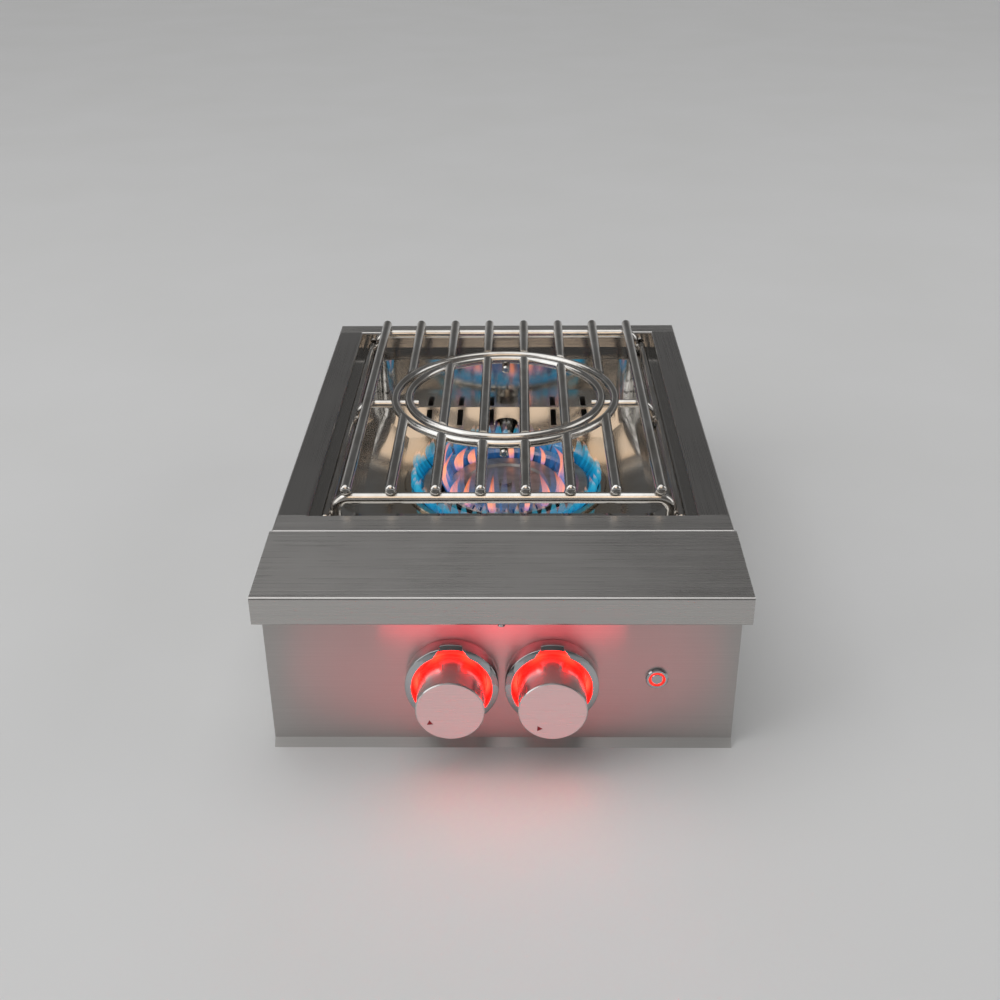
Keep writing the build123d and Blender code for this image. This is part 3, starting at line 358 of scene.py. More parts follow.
# %% [markdown]
# ## Grate rods
# The grate is polished round rod, welded and then wiped down. Rods are drawn through a die, so their marks
# run along them. They run along X, Y and round the rings here, and one fine noise, a little longer from
# front to back, reads well on all of them. Faint straw-coloured clouds show where the fire has reached the
# steel.

# %% Drawn and polished rod
rod, rod_tree, rod_shader = finish("grate_rod", (0.62, 0.605, 0.585), 1, 0.18)
rod_marks = noise(rod_tree, (260, 60, 260), 3)
rod_clouds = noise(rod_tree, (22, 22, 22), 3)
rod_tree.links.new(
    shades(rod_tree, rod_clouds, (0.3, (0.52, 0.49, 0.45)), (0.65, (0.66, 0.65, 0.63))),
    rod_shader.inputs["Base Color"],
)
rod_tree.links.new(between(rod_tree, rod_marks, 0.12, 0.26), rod_shader.inputs["Roughness"])
relief(rod_tree, rod_shader, rod_marks, 0.00002)
grate_nodes = [name for name in nodes if name.startswith("grate_")] + ["centre_ring", "centre_bars"]
paint(rod, *grate_nodes)
print("nodes of polished rod:", len(grate_nodes))

# %% [markdown]
# ## The burners
# The two burners and their venturi tubes are plain steel, machined and then stained by heat. A noise drives
# both the colour and the roughness, so that the darker stains are also the duller ones.

# %% Heat-dulled burner steel
burner, burner_tree, burner_shader = finish("burner_steel", (0.36, 0.35, 0.34), 1, 0.42)
burner_clouds = noise(burner_tree, (60, 60, 60), 5)
burner_tree.links.new(
    shades(burner_tree, burner_clouds, (0.3, (0.24, 0.22, 0.21)), (0.7, (0.46, 0.44, 0.42))),
    burner_shader.inputs["Base Color"],
)
burner_tree.links.new(between(burner_tree, burner_clouds, 0.52, 0.34), burner_shader.inputs["Roughness"])
relief(burner_tree, burner_shader, noise(burner_tree, (700, 700, 700), 2), 0.00004)
burner_nodes = ["outer_burner_ring", "inner_burner_body", "inner_burner_cap"]
burner_nodes += ["outer_venturi", "inner_venturi", "outer_air_shutter", "inner_air_shutter"]
paint(burner, *burner_nodes)
print("nodes of burner steel:", len(burner_nodes))

# %% [markdown]
# ## Knobs and bezels
# A knob is turned from steel: its side is polished on the lathe and keeps very fine rings, while its face
# is brushed straight across to a satin. Both are one material here, with the depth from the face as the
# switch between them, because the node is one mesh. The bezel round it is bright chrome.

# %% Knob with a satin face and a turned side
knob_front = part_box("left_knob")[0].y
face_depth = 0.3 * mm
side_polish = 0.62

knob, knob_tree, knob_shader = finish("knob_steel", (0.66, 0.65, 0.635), 1, 0.27)
knob_place = place_of(knob_tree)
knob_split = knob_tree.nodes.new("ShaderNodeSeparateXYZ")
knob_tree.links.new(knob_place, knob_split.inputs[0])
on_side = sums(knob_tree, "GREATER_THAN", knob_split.outputs["Y"], knob_front + face_depth)
turned_rings = noise(knob_tree, (60, 2600, 60), 2, knob_place)
face_grain = noise(knob_tree, (25, 25, 2200), 2, knob_place)
knob_marks = sums(
    knob_tree,
    "ADD",
    face_grain,
    sums(knob_tree, "MULTIPLY", on_side, sums(knob_tree, "SUBTRACT", turned_rings, face_grain)),
)
knob_tree.links.new(
    shades(knob_tree, knob_marks, (0.35, (0.65, 0.64, 0.63)), (0.65, (0.675, 0.665, 0.655))),
    knob_shader.inputs["Base Color"],
)
face_rough = between(knob_tree, knob_marks, 0.27, 0.33)
side_share = between(knob_tree, on_side, 1.0, side_polish, 0, 1)
knob_tree.links.new(sums(knob_tree, "MULTIPLY", face_rough, side_share), knob_shader.inputs["Roughness"])
relief(knob_tree, knob_shader, knob_marks, 0.000008)
round_axis = knob_tree.nodes.new("ShaderNodeTangent")
round_axis.direction_type = "RADIAL"
round_axis.axis = "Y"
knob_tree.links.new(round_axis.outputs["Tangent"], knob_shader.inputs["Tangent"])
knob_shader.inputs["Anisotropic Rotation"].default_value = 0.25
knob_tree.links.new(sums(knob_tree, "MULTIPLY", on_side, strong_smear), knob_shader.inputs["Anisotropic"])
paint(knob, "left_knob", "right_knob")
print("knob face at", round(knob_front / mm, 1), "mm")

# %% Bright chrome
chrome, chrome_tree, chrome_shader = finish("bezel_chrome", (0.52, 0.52, 0.53), 1, 0.07)
chrome_marks = noise(chrome_tree, (180, 180, 180), 4)
chrome_tree.links.new(between(chrome_tree, chrome_marks, 0.04, 0.11), chrome_shader.inputs["Roughness"])
relief(chrome_tree, chrome_shader, chrome_marks, 0.00001)
chrome_nodes = ["left_bezel", "right_bezel", "switch_body", "switch_nut", "switch_button", "canopy_screw"]
paint(chrome, *chrome_nodes)
print("chromed nodes:", len(chrome_nodes))

# %% Rounded edges on the bezels
bezel_edge = 1.3 * mm


def round_edges(name, width):
    """Join the node's faces, then round its sharp edges."""
    weld = nodes[name].modifiers.new("join", "WELD")
    weld.merge_threshold = 0.00001
    bevel = nodes[name].modifiers.new("edges", "BEVEL")
    bevel.width = width
    bevel.segments = 4
    bevel.limit_method = "ANGLE"
    bevel.angle_limit = math.radians(35)
    bevel.harden_normals = True


for name in ("left_bezel", "right_bezel"):
    round_edges(name, bezel_edge)
print("bezel edges rounded by", bezel_edge / mm, "mm")

# %% [markdown]
# ## Lit rings
# Red lamps on a small board shine through a frosted plastic ring between each knob and its bezel, and a
# smaller ring glows in the switch. The plastic itself glows here, a little brighter over each lamp. Spots
# that come round evenly are a cosine of the angle about the knob's axis. The light falls off towards the
# ring's outer edge, where the plastic is thickest.

# %% Glowing plastic
lamps_in_ring = 6
first_lamp = math.radians(58)
ring_light = 60.0
switch_light = 6.0
deep_red = (1.0, 0.0020, 0.0013)
hot_red = (1.0, 0.0028, 0.0013)
frost_share = 0.2
thick_from = 0.86
edge_glow = 0.12


def glowing(name, centre, outer, strength):
    """Frosted plastic that glows in spots round its centre and dims towards its outer radius."""
    material, tree, shader = finish(name, (0.85, 0.06, 0.03), 0, 0.35)
    split = tree.nodes.new("ShaderNodeSeparateXYZ")
    tree.links.new(place_of(tree), split.inputs[0])
    across = sums(tree, "SUBTRACT", split.outputs["X"], centre.x)
    above = sums(tree, "SUBTRACT", split.outputs["Z"], centre.z)
    turn = sums(tree, "SUBTRACT", sums(tree, "ARCTAN2", above, across), first_lamp)
    spots = between(tree, sums(tree, "COSINE", sums(tree, "MULTIPLY", turn, lamps_in_ring)), 0, 1, -1, 1)
    frost = noise(tree, (300, 300, 300), 3)
    clear_spots = sums(tree, "MULTIPLY", spots, 1 - frost_share)
    spots = sums(tree, "ADD", clear_spots, sums(tree, "MULTIPLY", frost, frost_share))
    tree.links.new(shades(tree, spots, (0.3, deep_red), (0.92, hot_red)), shader.inputs["Emission Color"])
    across_squared = sums(tree, "POWER", across, 2)
    above_squared = sums(tree, "POWER", above, 2)
    far = sums(tree, "SQRT", sums(tree, "ADD", across_squared, above_squared))
    edge_share = between(tree, far, 1.0, edge_glow, thick_from * outer, outer)
    spot_share = between(tree, spots, 0.3, 1.0, 0.2, 0.95)
    shares = sums(tree, "MULTIPLY", edge_share, spot_share)
    tree.links.new(sums(tree, "MULTIPLY", shares, strength), shader.inputs["Emission Strength"])
    relief(tree, shader, frost, 0.00003)
    return material


def middle(name):
    """The middle of a node's box."""
    low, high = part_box(name)
    return (low + high) / 2


for name, strength in (("left", ring_light), ("right", ring_light), ("switch", switch_light)):
    ring_low, ring_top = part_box(name + "_light_ring")
    outer = (ring_top.x - ring_low.x) / 2
    paint(glowing(name + "_glow", middle(name + "_light_ring"), outer, strength), name + "_light_ring")
print("lamps in a ring:", lamps_in_ring)

# %% [markdown]
# ## Gas parts and the rest
# Behind the panel are brass valves and jets, a drawn pipe, a white glazed insulator and a rubber grommet.
# They show only from behind or below, but they are finished as carefully as the rest, because a part is
# turned round when it is used.


# %% Brass and pipe
def cloudy(name, dark, light, metallic, rough_low, rough_high, per_metre, height):
    """A finish whose colour and roughness follow one noise."""
    material, tree, shader = finish(name, light, metallic, rough_high)
    clouds = noise(tree, (per_metre,) * 3, 4)
    tree.links.new(shades(tree, clouds, (0.3, dark), (0.7, light)), shader.inputs["Base Color"])
    tree.links.new(between(tree, clouds, rough_high, rough_low), shader.inputs["Roughness"])
    relief(tree, shader, clouds, height)
    return material


brass = cloudy("fitting_brass", (0.52, 0.36, 0.13), (0.74, 0.56, 0.25), 1, 0.22, 0.38, 90, 0.00003)
brass_pieces = ("valve_body", "valve_stem", "push_collar", "orifice")
brass_nodes = [side + "_" + piece for side in ("left", "right") for piece in brass_pieces]
paint(brass, *brass_nodes, "gas_inlet_fitting")
pipe = cloudy("drawn_pipe", (0.40, 0.41, 0.42), (0.58, 0.59, 0.60), 1, 0.26, 0.42, 70, 0.00003)
paint(pipe, "manifold_pipe", "left_feed_tube", "right_feed_tube")
print("brass nodes:", len(brass_nodes) + 1)

# %% Ceramic, wire, rubber and lamp boards
ceramic = cloudy("igniter_ceramic", (0.80, 0.78, 0.72), (0.90, 0.88, 0.83), 0, 0.16, 0.30, 120, 0.00001)
paint(ceramic, "igniter_insulator")
wire = cloudy("electrode_wire", (0.22, 0.20, 0.20), (0.42, 0.40, 0.39), 1, 0.30, 0.50, 400, 0.00002)
paint(wire, "igniter_electrode")
rubber = cloudy("grommet_rubber", (0.016, 0.016, 0.016), (0.035, 0.035, 0.035), 0, 0.55, 0.75, 500, 0.00003)
paint(rubber, "cable_grommet")
board = cloudy("led_board", (0.70, 0.70, 0.67), (0.84, 0.84, 0.81), 0, 0.35, 0.55, 300, 0.00001)
# The boards' red glow is painted light: it stands in for the ring lamps' light falling on the pale board,
# which is no lamp itself.
board_shader = board.node_tree.nodes["Principled BSDF"]
board_shader.inputs["Emission Color"].default_value = (*deep_red, 1)
board_painted_glow = ring_light / 4
board_shader.inputs["Emission Strength"].default_value = board_painted_glow
paint(board, "left_led_board", "right_led_board")
print("the boards glow at", board_painted_glow)

# %% [markdown]
# ## Paint in the knob pointers
# The pointer is a shallow three-sided recess in the knob's face, filled with dark red paint. The recess is
# in the model already, so the paint only needs a thin plate that sits in it, a hair below the face. Paint
# settles lower in the middle than at the walls, so the plate is dished: four rims, from its back edge to the
# middle of the dish, each with a share of the plate's size and a depth. It rides with its knob.

# %% Fill the pointer recesses
pointer_radius = 19.0 * mm
pointer_size = 2.75 * mm
pointer_turns = {"left": math.radians(214.5), "right": math.radians(237.0)}
paint_below_face = 0.08 * mm
paint_thickness = 0.25 * mm
paint_rims = ((1.0, paint_thickness), (1.0, 0.0), (0.6, 0.05 * mm), (0.25, 0.07 * mm))
dark_red, light_red = (0.36, 0.006, 0.014), (0.46, 0.010, 0.020)
paint_red = cloudy("pointer_paint", dark_red, light_red, 0, 0.30, 0.45, 800, 0.00001)


def new_piece(name, mesh, material, body):
    """Put a mesh into the scene as a piece of the burner."""
    mesh.materials.append(material)
    piece = bpy.data.objects.new(name, mesh)
    bpy.context.scene.collection.objects.link(piece)
    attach(piece, body)


def smooth(mesh):
    """Shade a mesh as one curved surface."""
    for face in mesh.polygons:
        face.use_smooth = True


for side, turn in pointer_turns.items():
    axis = middle(side + "_knob")
    shape = bmesh.new()
    middle_x = axis.x + pointer_radius * math.cos(turn)
    middle_z = axis.z + pointer_radius * math.sin(turn)
    front_y = knob_front + paint_below_face
    rims = []
    for share, depth in paint_rims:
        rims.append([
            shape.verts.new((
                middle_x + share * pointer_size * math.cos(turn + corner * math.tau / 3),
                front_y + depth,
                middle_z + share * pointer_size * math.sin(turn + corner * math.tau / 3),
            ))
            for corner in range(3)
        ])
    for outer, inner in zip(rims, rims[1:]):
        for corner in range(3):
            after = (corner + 1) % 3
            shape.faces.new((outer[corner], outer[after], inner[after], inner[corner]))
    shape.faces.new(rims[-1])
    shape.faces.new(reversed(rims[0]))
    bmesh.ops.recalc_face_normals(shape, faces=shape.faces)
    mesh = bpy.data.meshes.new(side + "_pointer_paint")
    shape.to_mesh(mesh)
    shape.free()
    new_piece(side + "_pointer_paint", mesh, paint_red, side + "_control")
print("pointers filled:", len(pointer_turns))

# %% [markdown]
# ## Flames
# The photograph shows the burner alight. A flame is hot gas and no part of the burner, so the flames are
# staged like the floor and are left out of the exported part. Each port gets one tongue: a thin bag that
# swells and closes to a tip. A number from 0 at the port to 1 at the tip is stored on its points, and
# the finish reads it to go from blue to orange and to fade out. Smoke tools could do this too, but a bag of
# light is quick to render and looks the same every time.

# %% Tongues of flame
flame_rings = 12
flame_sides = 8
flame_neck = 0.12
belly_height = 0.62
flame_taper = 0.9
thinnest = 0.05 * mm
chance = random.Random(21)


def tongue(shape, rise, base, tip, belly, bulge):
    """One flame from base to tip. bulge pushes its middle sideways."""
    columns = []
    for step in range(flame_rings + 1):
        t = step / flame_rings
        centre = base.lerp(tip, t) + bulge * math.sin(math.pi * t)
        swell = min(1, flame_neck + (1 - flame_neck) * t) ** belly_height
        width = max(belly * math.sin(math.pi * swell) ** flame_taper, thinnest)
        ring = []
        for side in range(flame_sides):
            around = side * math.tau / flame_sides
            spoke = Vector((math.cos(around), math.sin(around), 0))
            point = shape.verts.new(centre + spoke * width)
            point[rise] = t
            ring.append(point)
        columns.append(ring)
    for lower, upper in zip(columns, columns[1:]):
        for side in range(flame_sides):
            after = (side + 1) % flame_sides
            shape.faces.new((lower[side], lower[after], upper[after], upper[side]))


print("points in one tongue:", (flame_rings + 1) * flame_sides)

# %% Light along a tongue
wisps_per_metre = (160, 160, 60)
thin_wisp = 0.45
fade_from = 0.45


def flame_finish(name, *stops, strength, body):
    """Light along the tongue, fading to nothing at its tip."""
    material = bpy.data.materials.new(name)
    material.use_nodes = True
    material.cycles.emission_sampling = "NONE"
    tree = material.node_tree
    tree.nodes.clear()
    rise = tree.nodes.new("ShaderNodeAttribute")
    rise.attribute_name = "rise"
    light = tree.nodes.new("ShaderNodeEmission")
    light.inputs["Strength"].default_value = strength
    tree.links.new(shades(tree, rise.outputs["Fac"], *stops), light.inputs["Color"])
    clear = tree.nodes.new("ShaderNodeBsdfTransparent")
    mix = tree.nodes.new("ShaderNodeMixShader")
    wisps = between(tree, noise(tree, wisps_per_metre, 2), thin_wisp, 1.0)
    fade = between(tree, rise.outputs["Fac"], body, 0, fade_from, 1.0)
    tree.links.new(sums(tree, "MULTIPLY", wisps, fade), mix.inputs[0])
    tree.links.new(clear.outputs[0], mix.inputs[1])
    tree.links.new(light.outputs[0], mix.inputs[2])
    output = tree.nodes.new("ShaderNodeOutputMaterial")
    tree.links.new(mix.outputs[0], output.inputs["Surface"])
    return material


# %% Tongues in a ring
bulge_share = 0.18


def flames(name, ports, radius, base_z, height, lean, belly, material, wander):
    """A ring of tongues. lean is how far a tip goes outwards, wander how unevenly they stand."""
    shape = bmesh.new()
    rise = shape.verts.layers.float.new("rise")
    for port in range(ports):
        around = (port + chance.uniform(-0.5, 0.5) * wander) * math.tau / ports
        out = Vector((math.cos(around), math.sin(around), 0))
        sideways = Vector((-out.y, out.x, 0))
        tall = height * chance.uniform(0.9 - 0.5 * wander, 1.1 + 0.2 * wander)
        base = out * radius + Vector((0, 0, base_z))
        drift = out * lean * chance.uniform(0.6, 1.3) + sideways * chance.uniform(-0.1, 0.1) * tall
        tip = base + drift + Vector((0, 0, tall))
        wide = belly * chance.uniform(1 - 0.4 * wander, 1 + 0.4 * wander)
        tongue(shape, rise, base, tip, wide, out * bulge_share * tall)
    mesh = bpy.data.meshes.new(name)
    shape.to_mesh(mesh)
    shape.free()
    smooth(mesh)
    mesh.materials.append(material)
    ring = bpy.data.objects.new(name, mesh)
    bpy.context.scene.collection.objects.link(ring)
    print(name, ports, "tongues")


# %% Light the two rings
teal_fire = flame_finish(
    "teal_fire",
    (0.0, (0.003, 0.10, 0.25)),
    (0.4, (0.008, 0.20, 0.36)),
    (0.74, (0.05, 0.32, 0.43)),
    (0.86, (1.0, 0.50, 0.32)),
    strength=1.5,
    body=0.5,
)
blue_haze = flame_finish(
    "blue_haze",
    (0.0, (0.015, 0.12, 0.36)),
    (0.5, (0.06, 0.18, 0.40)),
    (0.9, (0.34, 0.19, 0.32)),
    strength=1.3,
    body=0.22,
)
orange_core = flame_finish(
    "orange_core",
    (0.0, (0.30, 0.16, 0.40)),
    (0.2, (1.0, 0.34, 0.17)),
    (0.6, (1.0, 0.27, 0.09)),
    (0.95, (1.0, 0.16, 0.04)),
    strength=1.9,
    body=0.55,
)
cap_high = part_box("inner_burner_cap")[1]
ring_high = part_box("outer_burner_ring")[1]
port_drop = 3.5 * mm
port_depth = 1.5 * mm
flames(
    "outer_flames",
    ports=60,
    radius=ring_high.x - port_depth,
    base_z=ring_high.z - port_drop,
    height=26 * mm,
    lean=5 * mm,
    belly=4.0 * mm,
    material=teal_fire,
    wander=0.25,
)
inner_port = cap_high.x - port_depth
inner_base = cap_high.z - port_drop
flames(
    "inner_haze",
    ports=44,
    radius=inner_port,
    base_z=inner_base,
    height=46 * mm,
    lean=-6 * mm,
    belly=4.6 * mm,
    material=blue_haze,
    wander=0.5,
)
flames(
    "inner_core",
    ports=15,
    radius=inner_port,
    base_z=inner_base,
    height=50 * mm,
    lean=-8 * mm,
    belly=3.4 * mm,
    material=orange_core,
    wander=1.0,
)

# %% [markdown]
# ## Weld beads
# The grate is put together by small welds, two at each crossing: one on either side of the bar. A real bead
# is a squashed drop that wets both rods. A ball that is flattened and pushed a little out of true looks
# the same, and all the beads of one body go into one mesh.

# %% A bead, and a row of them
weld_steel = cloudy("weld_steel", (0.30, 0.27, 0.25), (0.52, 0.48, 0.43), 1, 0.22, 0.45, 500, 0.00008)


def bead(shape, place, radii):
    """One weld bead: an uneven, flattened ball."""
    wobble = [r * chance.uniform(0.85, 1.15) for r in radii]
    bmesh.ops.create_icosphere(
        shape, subdivisions=2, radius=1, matrix=Matrix.Translation(place) @ Matrix.Diagonal((*wobble, 1))
    )


def welds(name, beads, body):
    """All beads of one body as one piece. A bead is its place and its three radii in millimetres."""
    shape = bmesh.new()
    for place, radii in beads:
        bead(shape, Vector(place), [r * mm for r in radii])
    mesh = bpy.data.meshes.new(name)
    shape.to_mesh(mesh)
    shape.free()
    smooth(mesh)
    new_piece(name, mesh, weld_steel, body)
    print(name, len(beads), "beads")


# %% Where bars meet a ring
bar_pitch = 38.1 * mm
bar_half_pitches = (-7, -5, -3, -1, 1, 3, 5, 7)
bars_at = [step * bar_pitch / 2 for step in bar_half_pitches]
ring_z = 163.25 * mm
at_rod_side = 4.4 * mm
ring_bead = (1.2, 1.8, 2.1)


def ring_beads(bars, ring_edge):
    """Beads on both sides of each bar, where its front and rear ends meet a ring."""
    beads = []
    for x in bars:
        for side in (-1, 1):
            edge_x = x + side * at_rod_side
            edge_y = math.sqrt(ring_edge**2 - edge_x**2)
            for y in (-edge_y, edge_y):
                beads.append(((edge_x, y, ring_z), ring_bead))
    return beads


print("bars at", [round(x / mm, 1) for x in bars_at], "mm")

# %% Weld the main grate and its centre
crossing_y = 193.0 * mm
crossing_z = 159.9 * mm
beside_bar = 3.4 * mm
beside_crossbar = 4.0 * mm
seat_radius = 107.5 * mm
seat_z = 159.3 * mm
beside_seat = 3.2 * mm
side_rod_x = 147.9 * mm
side_rod_z = 138.5 * mm
side_bead = (1.2, 1.5, 2.2)
grate_ring_edge = 111.5 * mm
centre_ring_edge = 90.0 * mm

main_beads = []
for x in bars_at:
    for side in (-1, 1):
        for y in (-crossing_y, crossing_y):
            main_beads.append(((x + side * beside_bar, y, crossing_z), (1.5, 2.0, 1.1)))
main_beads += ring_beads(bars_at[1:-1], grate_ring_edge)
for side in (-1, 1):
    for turn in (-1, 1):
        main_beads.append(((side * seat_radius, turn * beside_seat, seat_z), (2.0, 1.3, 1.1)))
        main_beads.append(((turn * beside_seat, side * seat_radius, seat_z), (1.3, 2.0, 1.1)))
        main_beads.append(((side * side_rod_x, turn * beside_bar, side_rod_z), side_bead))
        for y in (-crossing_y, crossing_y):
            main_beads.append(((side * side_rod_x, y + turn * beside_crossbar, side_rod_z), side_bead))
welds("grate_welds", main_beads, "main_grate")
welds("centre_welds", ring_beads(bars_at[2:-2], centre_ring_edge), "centre_grate")

# %% [markdown]
# ## Housing screws
# Pan-head screws hold the side and rear panels. A screw head is a low dome with a cross pressed into it.
# The dome is drawn as rings of points, and the points that lie in the cross are pushed down. A cut with a
# second shape would give sharper walls, but the heads are only seven millimetres wide.

# %% One screw head
head_radius = 3.6 * mm
head_height = 1.9 * mm
cross_half = 0.5 * mm
cross_reach = 2.1 * mm
cross_depth = 0.9 * mm
cross_rise = 0.5
dome_power = 2.6
head_rings = (0.4, 0.6, 1.0, 1.4, 1.8, 2.0, 2.2, 2.7, 3.2, 3.5)
head_sides = 40


def screw_head(shape, place, outward, turn):
    """One pan head that stands on a face and looks outward."""
    stand = outward.to_track_quat("Z", "Y").to_matrix().to_4x4()
    put = Matrix.Translation(place) @ stand @ Matrix.Rotation(turn, 4, "Z")

    def point(radius, around):
        x, y = radius * math.cos(around), radius * math.sin(around)
        z = head_height * math.sqrt(max(0, 1 - (radius / head_radius) ** dome_power))
        if radius < cross_reach and min(abs(x), abs(y)) < cross_half:
            z -= cross_depth * (1 - cross_rise * radius / cross_reach)
        return shape.verts.new(put @ Vector((x, y, z)))

    rings = []
    for radius in (*[r * mm for r in head_rings], head_radius):
        rings.append([point(radius, side * math.tau / head_sides) for side in range(head_sides)])
    tip = point(0, 0)
    for side in range(head_sides):
        after = (side + 1) % head_sides
        shape.faces.new((tip, rings[0][side], rings[0][after]))
        for inner, outer in zip(rings, rings[1:]):
            shape.faces.new((inner[side], outer[side], outer[after], inner[after]))


print("screw heads are", round(2 * head_radius / mm, 1), "mm wide")

# %% Drive in the housing screws
side_face = 167.5 * mm
side_spots = [(y * mm, z * mm) for y in (-228, 196) for z in (24, 118)]
panel_return = 185.0 * mm
return_spots = [(-258 * mm, z * mm) for z in (30, 112)]
rear_face = 210.25 * mm
rear_spots = [(156 * mm, z * mm) for z in (12, 68, 124)]

screw_shape = bmesh.new()
screw_count = 0
for side in (-1, 1):
    outward = Vector((side, 0, 0))
    spots = [(side * side_face, y, z) for y, z in side_spots]
    spots += [(side * panel_return, y, z) for y, z in return_spots]
    for spot in spots:
        screw_head(screw_shape, Vector(spot), outward, chance.uniform(0, math.tau))
        screw_count += 1
    for x, z in rear_spots:
        spot = Vector((side * x, rear_face, z))
        screw_head(screw_shape, spot, Vector((0, 1, 0)), chance.uniform(0, math.tau))
        screw_count += 1
screw_mesh = bpy.data.meshes.new("housing_screws")
screw_shape.to_mesh(screw_mesh)
screw_shape.free()
smooth(screw_mesh)
screw_steel = cloudy("screw_steel", (0.48, 0.47, 0.46), (0.66, 0.65, 0.64), 1, 0.18, 0.34, 350, 0.00002)
new_piece("housing_screws", screw_mesh, screw_steel, "chassis")
print("screws:", screw_count)

# %% [markdown]
# ## Strips that close the control box
# The control panel is a little wider than the housing behind it. A narrow strip of sheet on each side shuts
# the box that its folded ends make. A plain box for each is enough, because only one flat face shows. The
# left strip mirrors the right one, so its points run the other way and its faces still look outward.

# %% Fit the closing strips
box_faces = [(0, 1, 3, 2), (4, 6, 7, 5), (0, 4, 5, 1), (2, 3, 7, 6), (0, 2, 6, 4), (1, 5, 7, 3)]
strip_thickness = 1.3 * mm
strip_gap = 0.1 * mm
panel_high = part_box("control_panel")[1]
wall_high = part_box("fire_wall")[1]
frame_rim = 12 * mm
panel_sheet = 1.5 * mm
strip_x = (wall_high.x + strip_gap, panel_high.x - panel_sheet - strip_gap)
strip_y = (panel_high.y - strip_gap - strip_thickness, panel_high.y - strip_gap)
strip_z = (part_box("base_pan")[1].z + strip_gap, frame_high.z - frame_rim - strip_gap)
for side, sign in (("left", -1), ("right", 1)):
    strip = bpy.data.meshes.new(side + "_closing_strip")
    spots = [(sign * x, y, z) for x in strip_x[::sign] for y in strip_y for z in strip_z]
    strip.from_pydata(spots, [], box_faces)
    new_piece(side + "_closing_strip", strip, panel_steel, "chassis")
print("closing strips", round((strip_x[1] - strip_x[0]) / mm, 1), "mm wide")

# %% [markdown]
# ## Thread on the gas inlet
# The supply hose screws onto the fitting at the back. Its thread is one long ridge wound round the
# fitting, 18 turns to the inch. A bump texture would look like separate rings and would vanish at the
# edge, so the ridge is drawn: three points at each step, root, crest and root. At both ends the crest runs
# out over half a turn.

# %% Wind the thread
inlet_axis = middle("gas_inlet_fitting")
thread_radius = 7.94 * mm
thread_crest = 0.38 * mm
threads_per_inch = 18
thread_pitch = 25.4 / threads_per_inch * mm
thread_from = 213.2 * mm
thread_to = 225.4 * mm
steps_per_turn = 36
run_out = steps_per_turn / 2
ridge_half = 0.42
root_sink = 0.06 * mm

thread_shape = bmesh.new()
thread_steps = int((thread_to - thread_from) / thread_pitch * steps_per_turn)
ridge = []
for step in range(thread_steps + 1):
    around = step * math.tau / steps_per_turn
    along = thread_from + thread_pitch * step / steps_per_turn
    fade = min(1, step / run_out, (thread_steps - step) / run_out)
    section = []
    for shift, radius in ((-ridge_half, -root_sink), (0, thread_crest * fade), (ridge_half, -root_sink)):
        reach = thread_radius + radius
        x = inlet_axis.x + reach * math.cos(around)
        z = inlet_axis.z + reach * math.sin(around)
        section.append(thread_shape.verts.new((x, along + shift * thread_pitch, z)))
    ridge.append(section)
for first, second in zip(ridge, ridge[1:]):
    for corner in range(2):
        thread_shape.faces.new((first[corner], first[corner + 1], second[corner + 1], second[corner]))
thread_mesh = bpy.data.meshes.new("inlet_thread")
thread_shape.to_mesh(thread_mesh)
thread_shape.free()
new_piece("inlet_thread", thread_mesh, brass, "chassis")
print("thread turns:", round(thread_steps / steps_per_turn, 1))

# %% [markdown]
# ## The studio
# The burner stands on a plain pale floor. Steel is a mirror at heart, so the studio is built for what the
# steel shows: a wide soft light overhead, which draws thin bright lines along rods and bends, two smaller
# soft lamps for the sides, and quiet dark surroundings above a pale horizon, which keep the flat top dark.
# A warm lamp above the camera shows in the rods and, by way of the rear wall, in the hopper's rear slope.
# The rings' red light also bounces many times between the knobs, the bezels, the panel and whatever lies
# before them. Three faint red lamps, which the camera does not see, stand in for that. Each lights only the
# steel that such light would reach, by a list of the objects that receive it.

# %% Floor
floor_half = 40.0
corners = [(x * floor_half, y * floor_half, 0) for x, y in ((-1, -1), (1, -1), (1, 1), (-1, 1))]
floor_mesh = bpy.data.meshes.new("floor")
floor_mesh.from_pydata(corners, [], [(0, 1, 2, 3)])
floor = bpy.data.objects.new("floor", floor_mesh)
bpy.context.scene.collection.objects.link(floor)
floor_finish, floor_tree, floor_shader = finish("pale_floor", (0.73, 0.73, 0.73), 0, 0.6)
floor_clouds = noise(floor_tree, (4, 4, 4), 3)
floor_tree.links.new(
    shades(floor_tree, floor_clouds, (0.3, (0.72, 0.72, 0.715)), (0.7, (0.74, 0.74, 0.74))),
    floor_shader.inputs["Base Color"],
)
floor_mesh.materials.append(floor_finish)
print("floor", 2 * floor_half, "m wide")

# %% Surroundings
world = bpy.data.worlds.new("studio")
world.use_nodes = True
bpy.context.scene.world = world
sky = world.node_tree
sky_split = sky.nodes.new("ShaderNodeSeparateXYZ")
sky.links.new(sky.nodes.new("ShaderNodeTexCoord").outputs["Generated"], sky_split.inputs[0])
sky_greys = ((0.0, 0.385), (0.1, 0.36), (0.3, 0.1), (0.65, 0.1), (1.0, 0.3))
sky_stops = [(height, (grey,) * 3) for height, grey in sky_greys]
sky_colour = shades(sky, sky_split.outputs["Z"], *sky_stops)
sky.links.new(sky_colour, sky.nodes["Background"].inputs["Color"])
print("greys from the horizon up:", [grey for height, grey in sky_greys])

# %% Lamps
overhead = bpy.data.lights.new("overhead_light", "SUN")
overhead.energy = 1.2
overhead.angle = math.radians(70)
overhead_lamp = bpy.data.objects.new("overhead_light", overhead)
overhead_lamp.rotation_euler = (math.radians(-5), math.radians(-12), 0)
bpy.context.scene.collection.objects.link(overhead_lamp)
lamp_target = Vector((0, -0.05, 0.1))


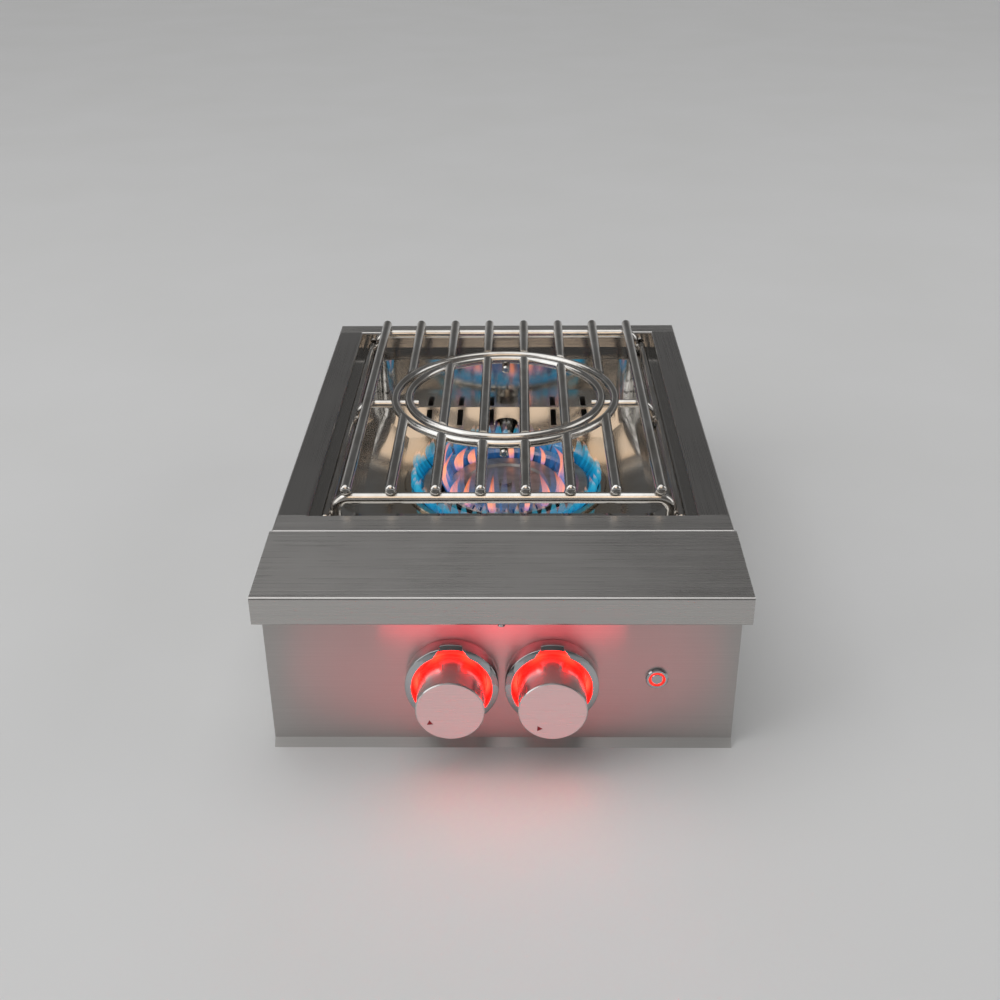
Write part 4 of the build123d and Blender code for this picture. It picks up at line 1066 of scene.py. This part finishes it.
def soft_lamp(name, place, size, watts):
    """A square lamp that faces the middle of the burner."""
    data = bpy.data.lights.new(name, "AREA")
    data.size = size
    data.energy = watts
    lamp = bpy.data.objects.new(name, data)
    lamp.location = place
    lamp.rotation_euler = (lamp_target - Vector(place)).to_track_quat("-Z", "Y").to_euler()
    lamp.visible_camera = False
    bpy.context.scene.collection.objects.link(lamp)
    print(name, watts, "W at", place)
    return lamp


def light_only(lamp, names):
    """Let a lamp reach only these objects."""
    receivers = bpy.data.collections.new(lamp.name + "_receivers")
    for name in names:
        receivers.objects.link(bpy.data.objects[name])
    lamp.light_linking.receiver_collection = receivers


soft_lamp("left_lamp", (-2.6, -1.0, 1.8), 2.8, 32)
soft_lamp("right_lamp", (3.0, 0.2, 1.6), 2.0, 16)
warm_lamp = soft_lamp("warm_lamp", (0, -1.9, 1.75), 1.4, 9)
warm_lamp.data.color = (1.0, 0.78, 0.58)
warm_firebox = ["hopper_floor", "firebox_liner", "burner_bowl"]
light_only(warm_lamp, grate_nodes + ["grate_welds", "centre_welds"] + warm_firebox)
print("the warm lamp reaches", len(grate_nodes), "sets of rods and the firebox")

# %% Red light thrown on the panel
panel_front = -327.0 * mm
on_floor = 1 * mm
towards_panel, upwards = 90, 180


def red_lamp(name, wide, deep, watts, place, tilt, lit):
    """An oval lamp that the camera can't see and that lights only the nodes named in lit."""
    data = bpy.data.lights.new(name, "AREA")
    data.shape = "ELLIPSE"
    data.size = wide
    data.size_y = deep
    data.energy = watts
    data.color = (1.0, 0.02, 0.05)
    lamp = bpy.data.objects.new(name, data)
    lamp.location = place
    lamp.rotation_euler = (math.radians(tilt), 0, 0)
    lamp.visible_camera = False
    light_only(lamp, lit)
    bpy.context.scene.collection.objects.link(lamp)
    print(name, watts, "W on", ", ".join(lit))


panel = ["control_panel"]
under_lip = (0, panel_front - 25 * mm, 104 * mm)
before_panel = (0, panel_front - 130 * mm, on_floor)
before_knobs = (0, panel_front - 150 * mm, on_floor)
red_lamp("band_glow", 200 * mm, 24 * mm, 0.026, under_lip, towards_panel, panel)
red_lamp("panel_glow", 400 * mm, 230 * mm, 0.12, before_panel, upwards, panel)
red_lamp("knob_glow", 300 * mm, 200 * mm, 0.04, before_knobs, upwards, ["left_knob", "right_knob"])
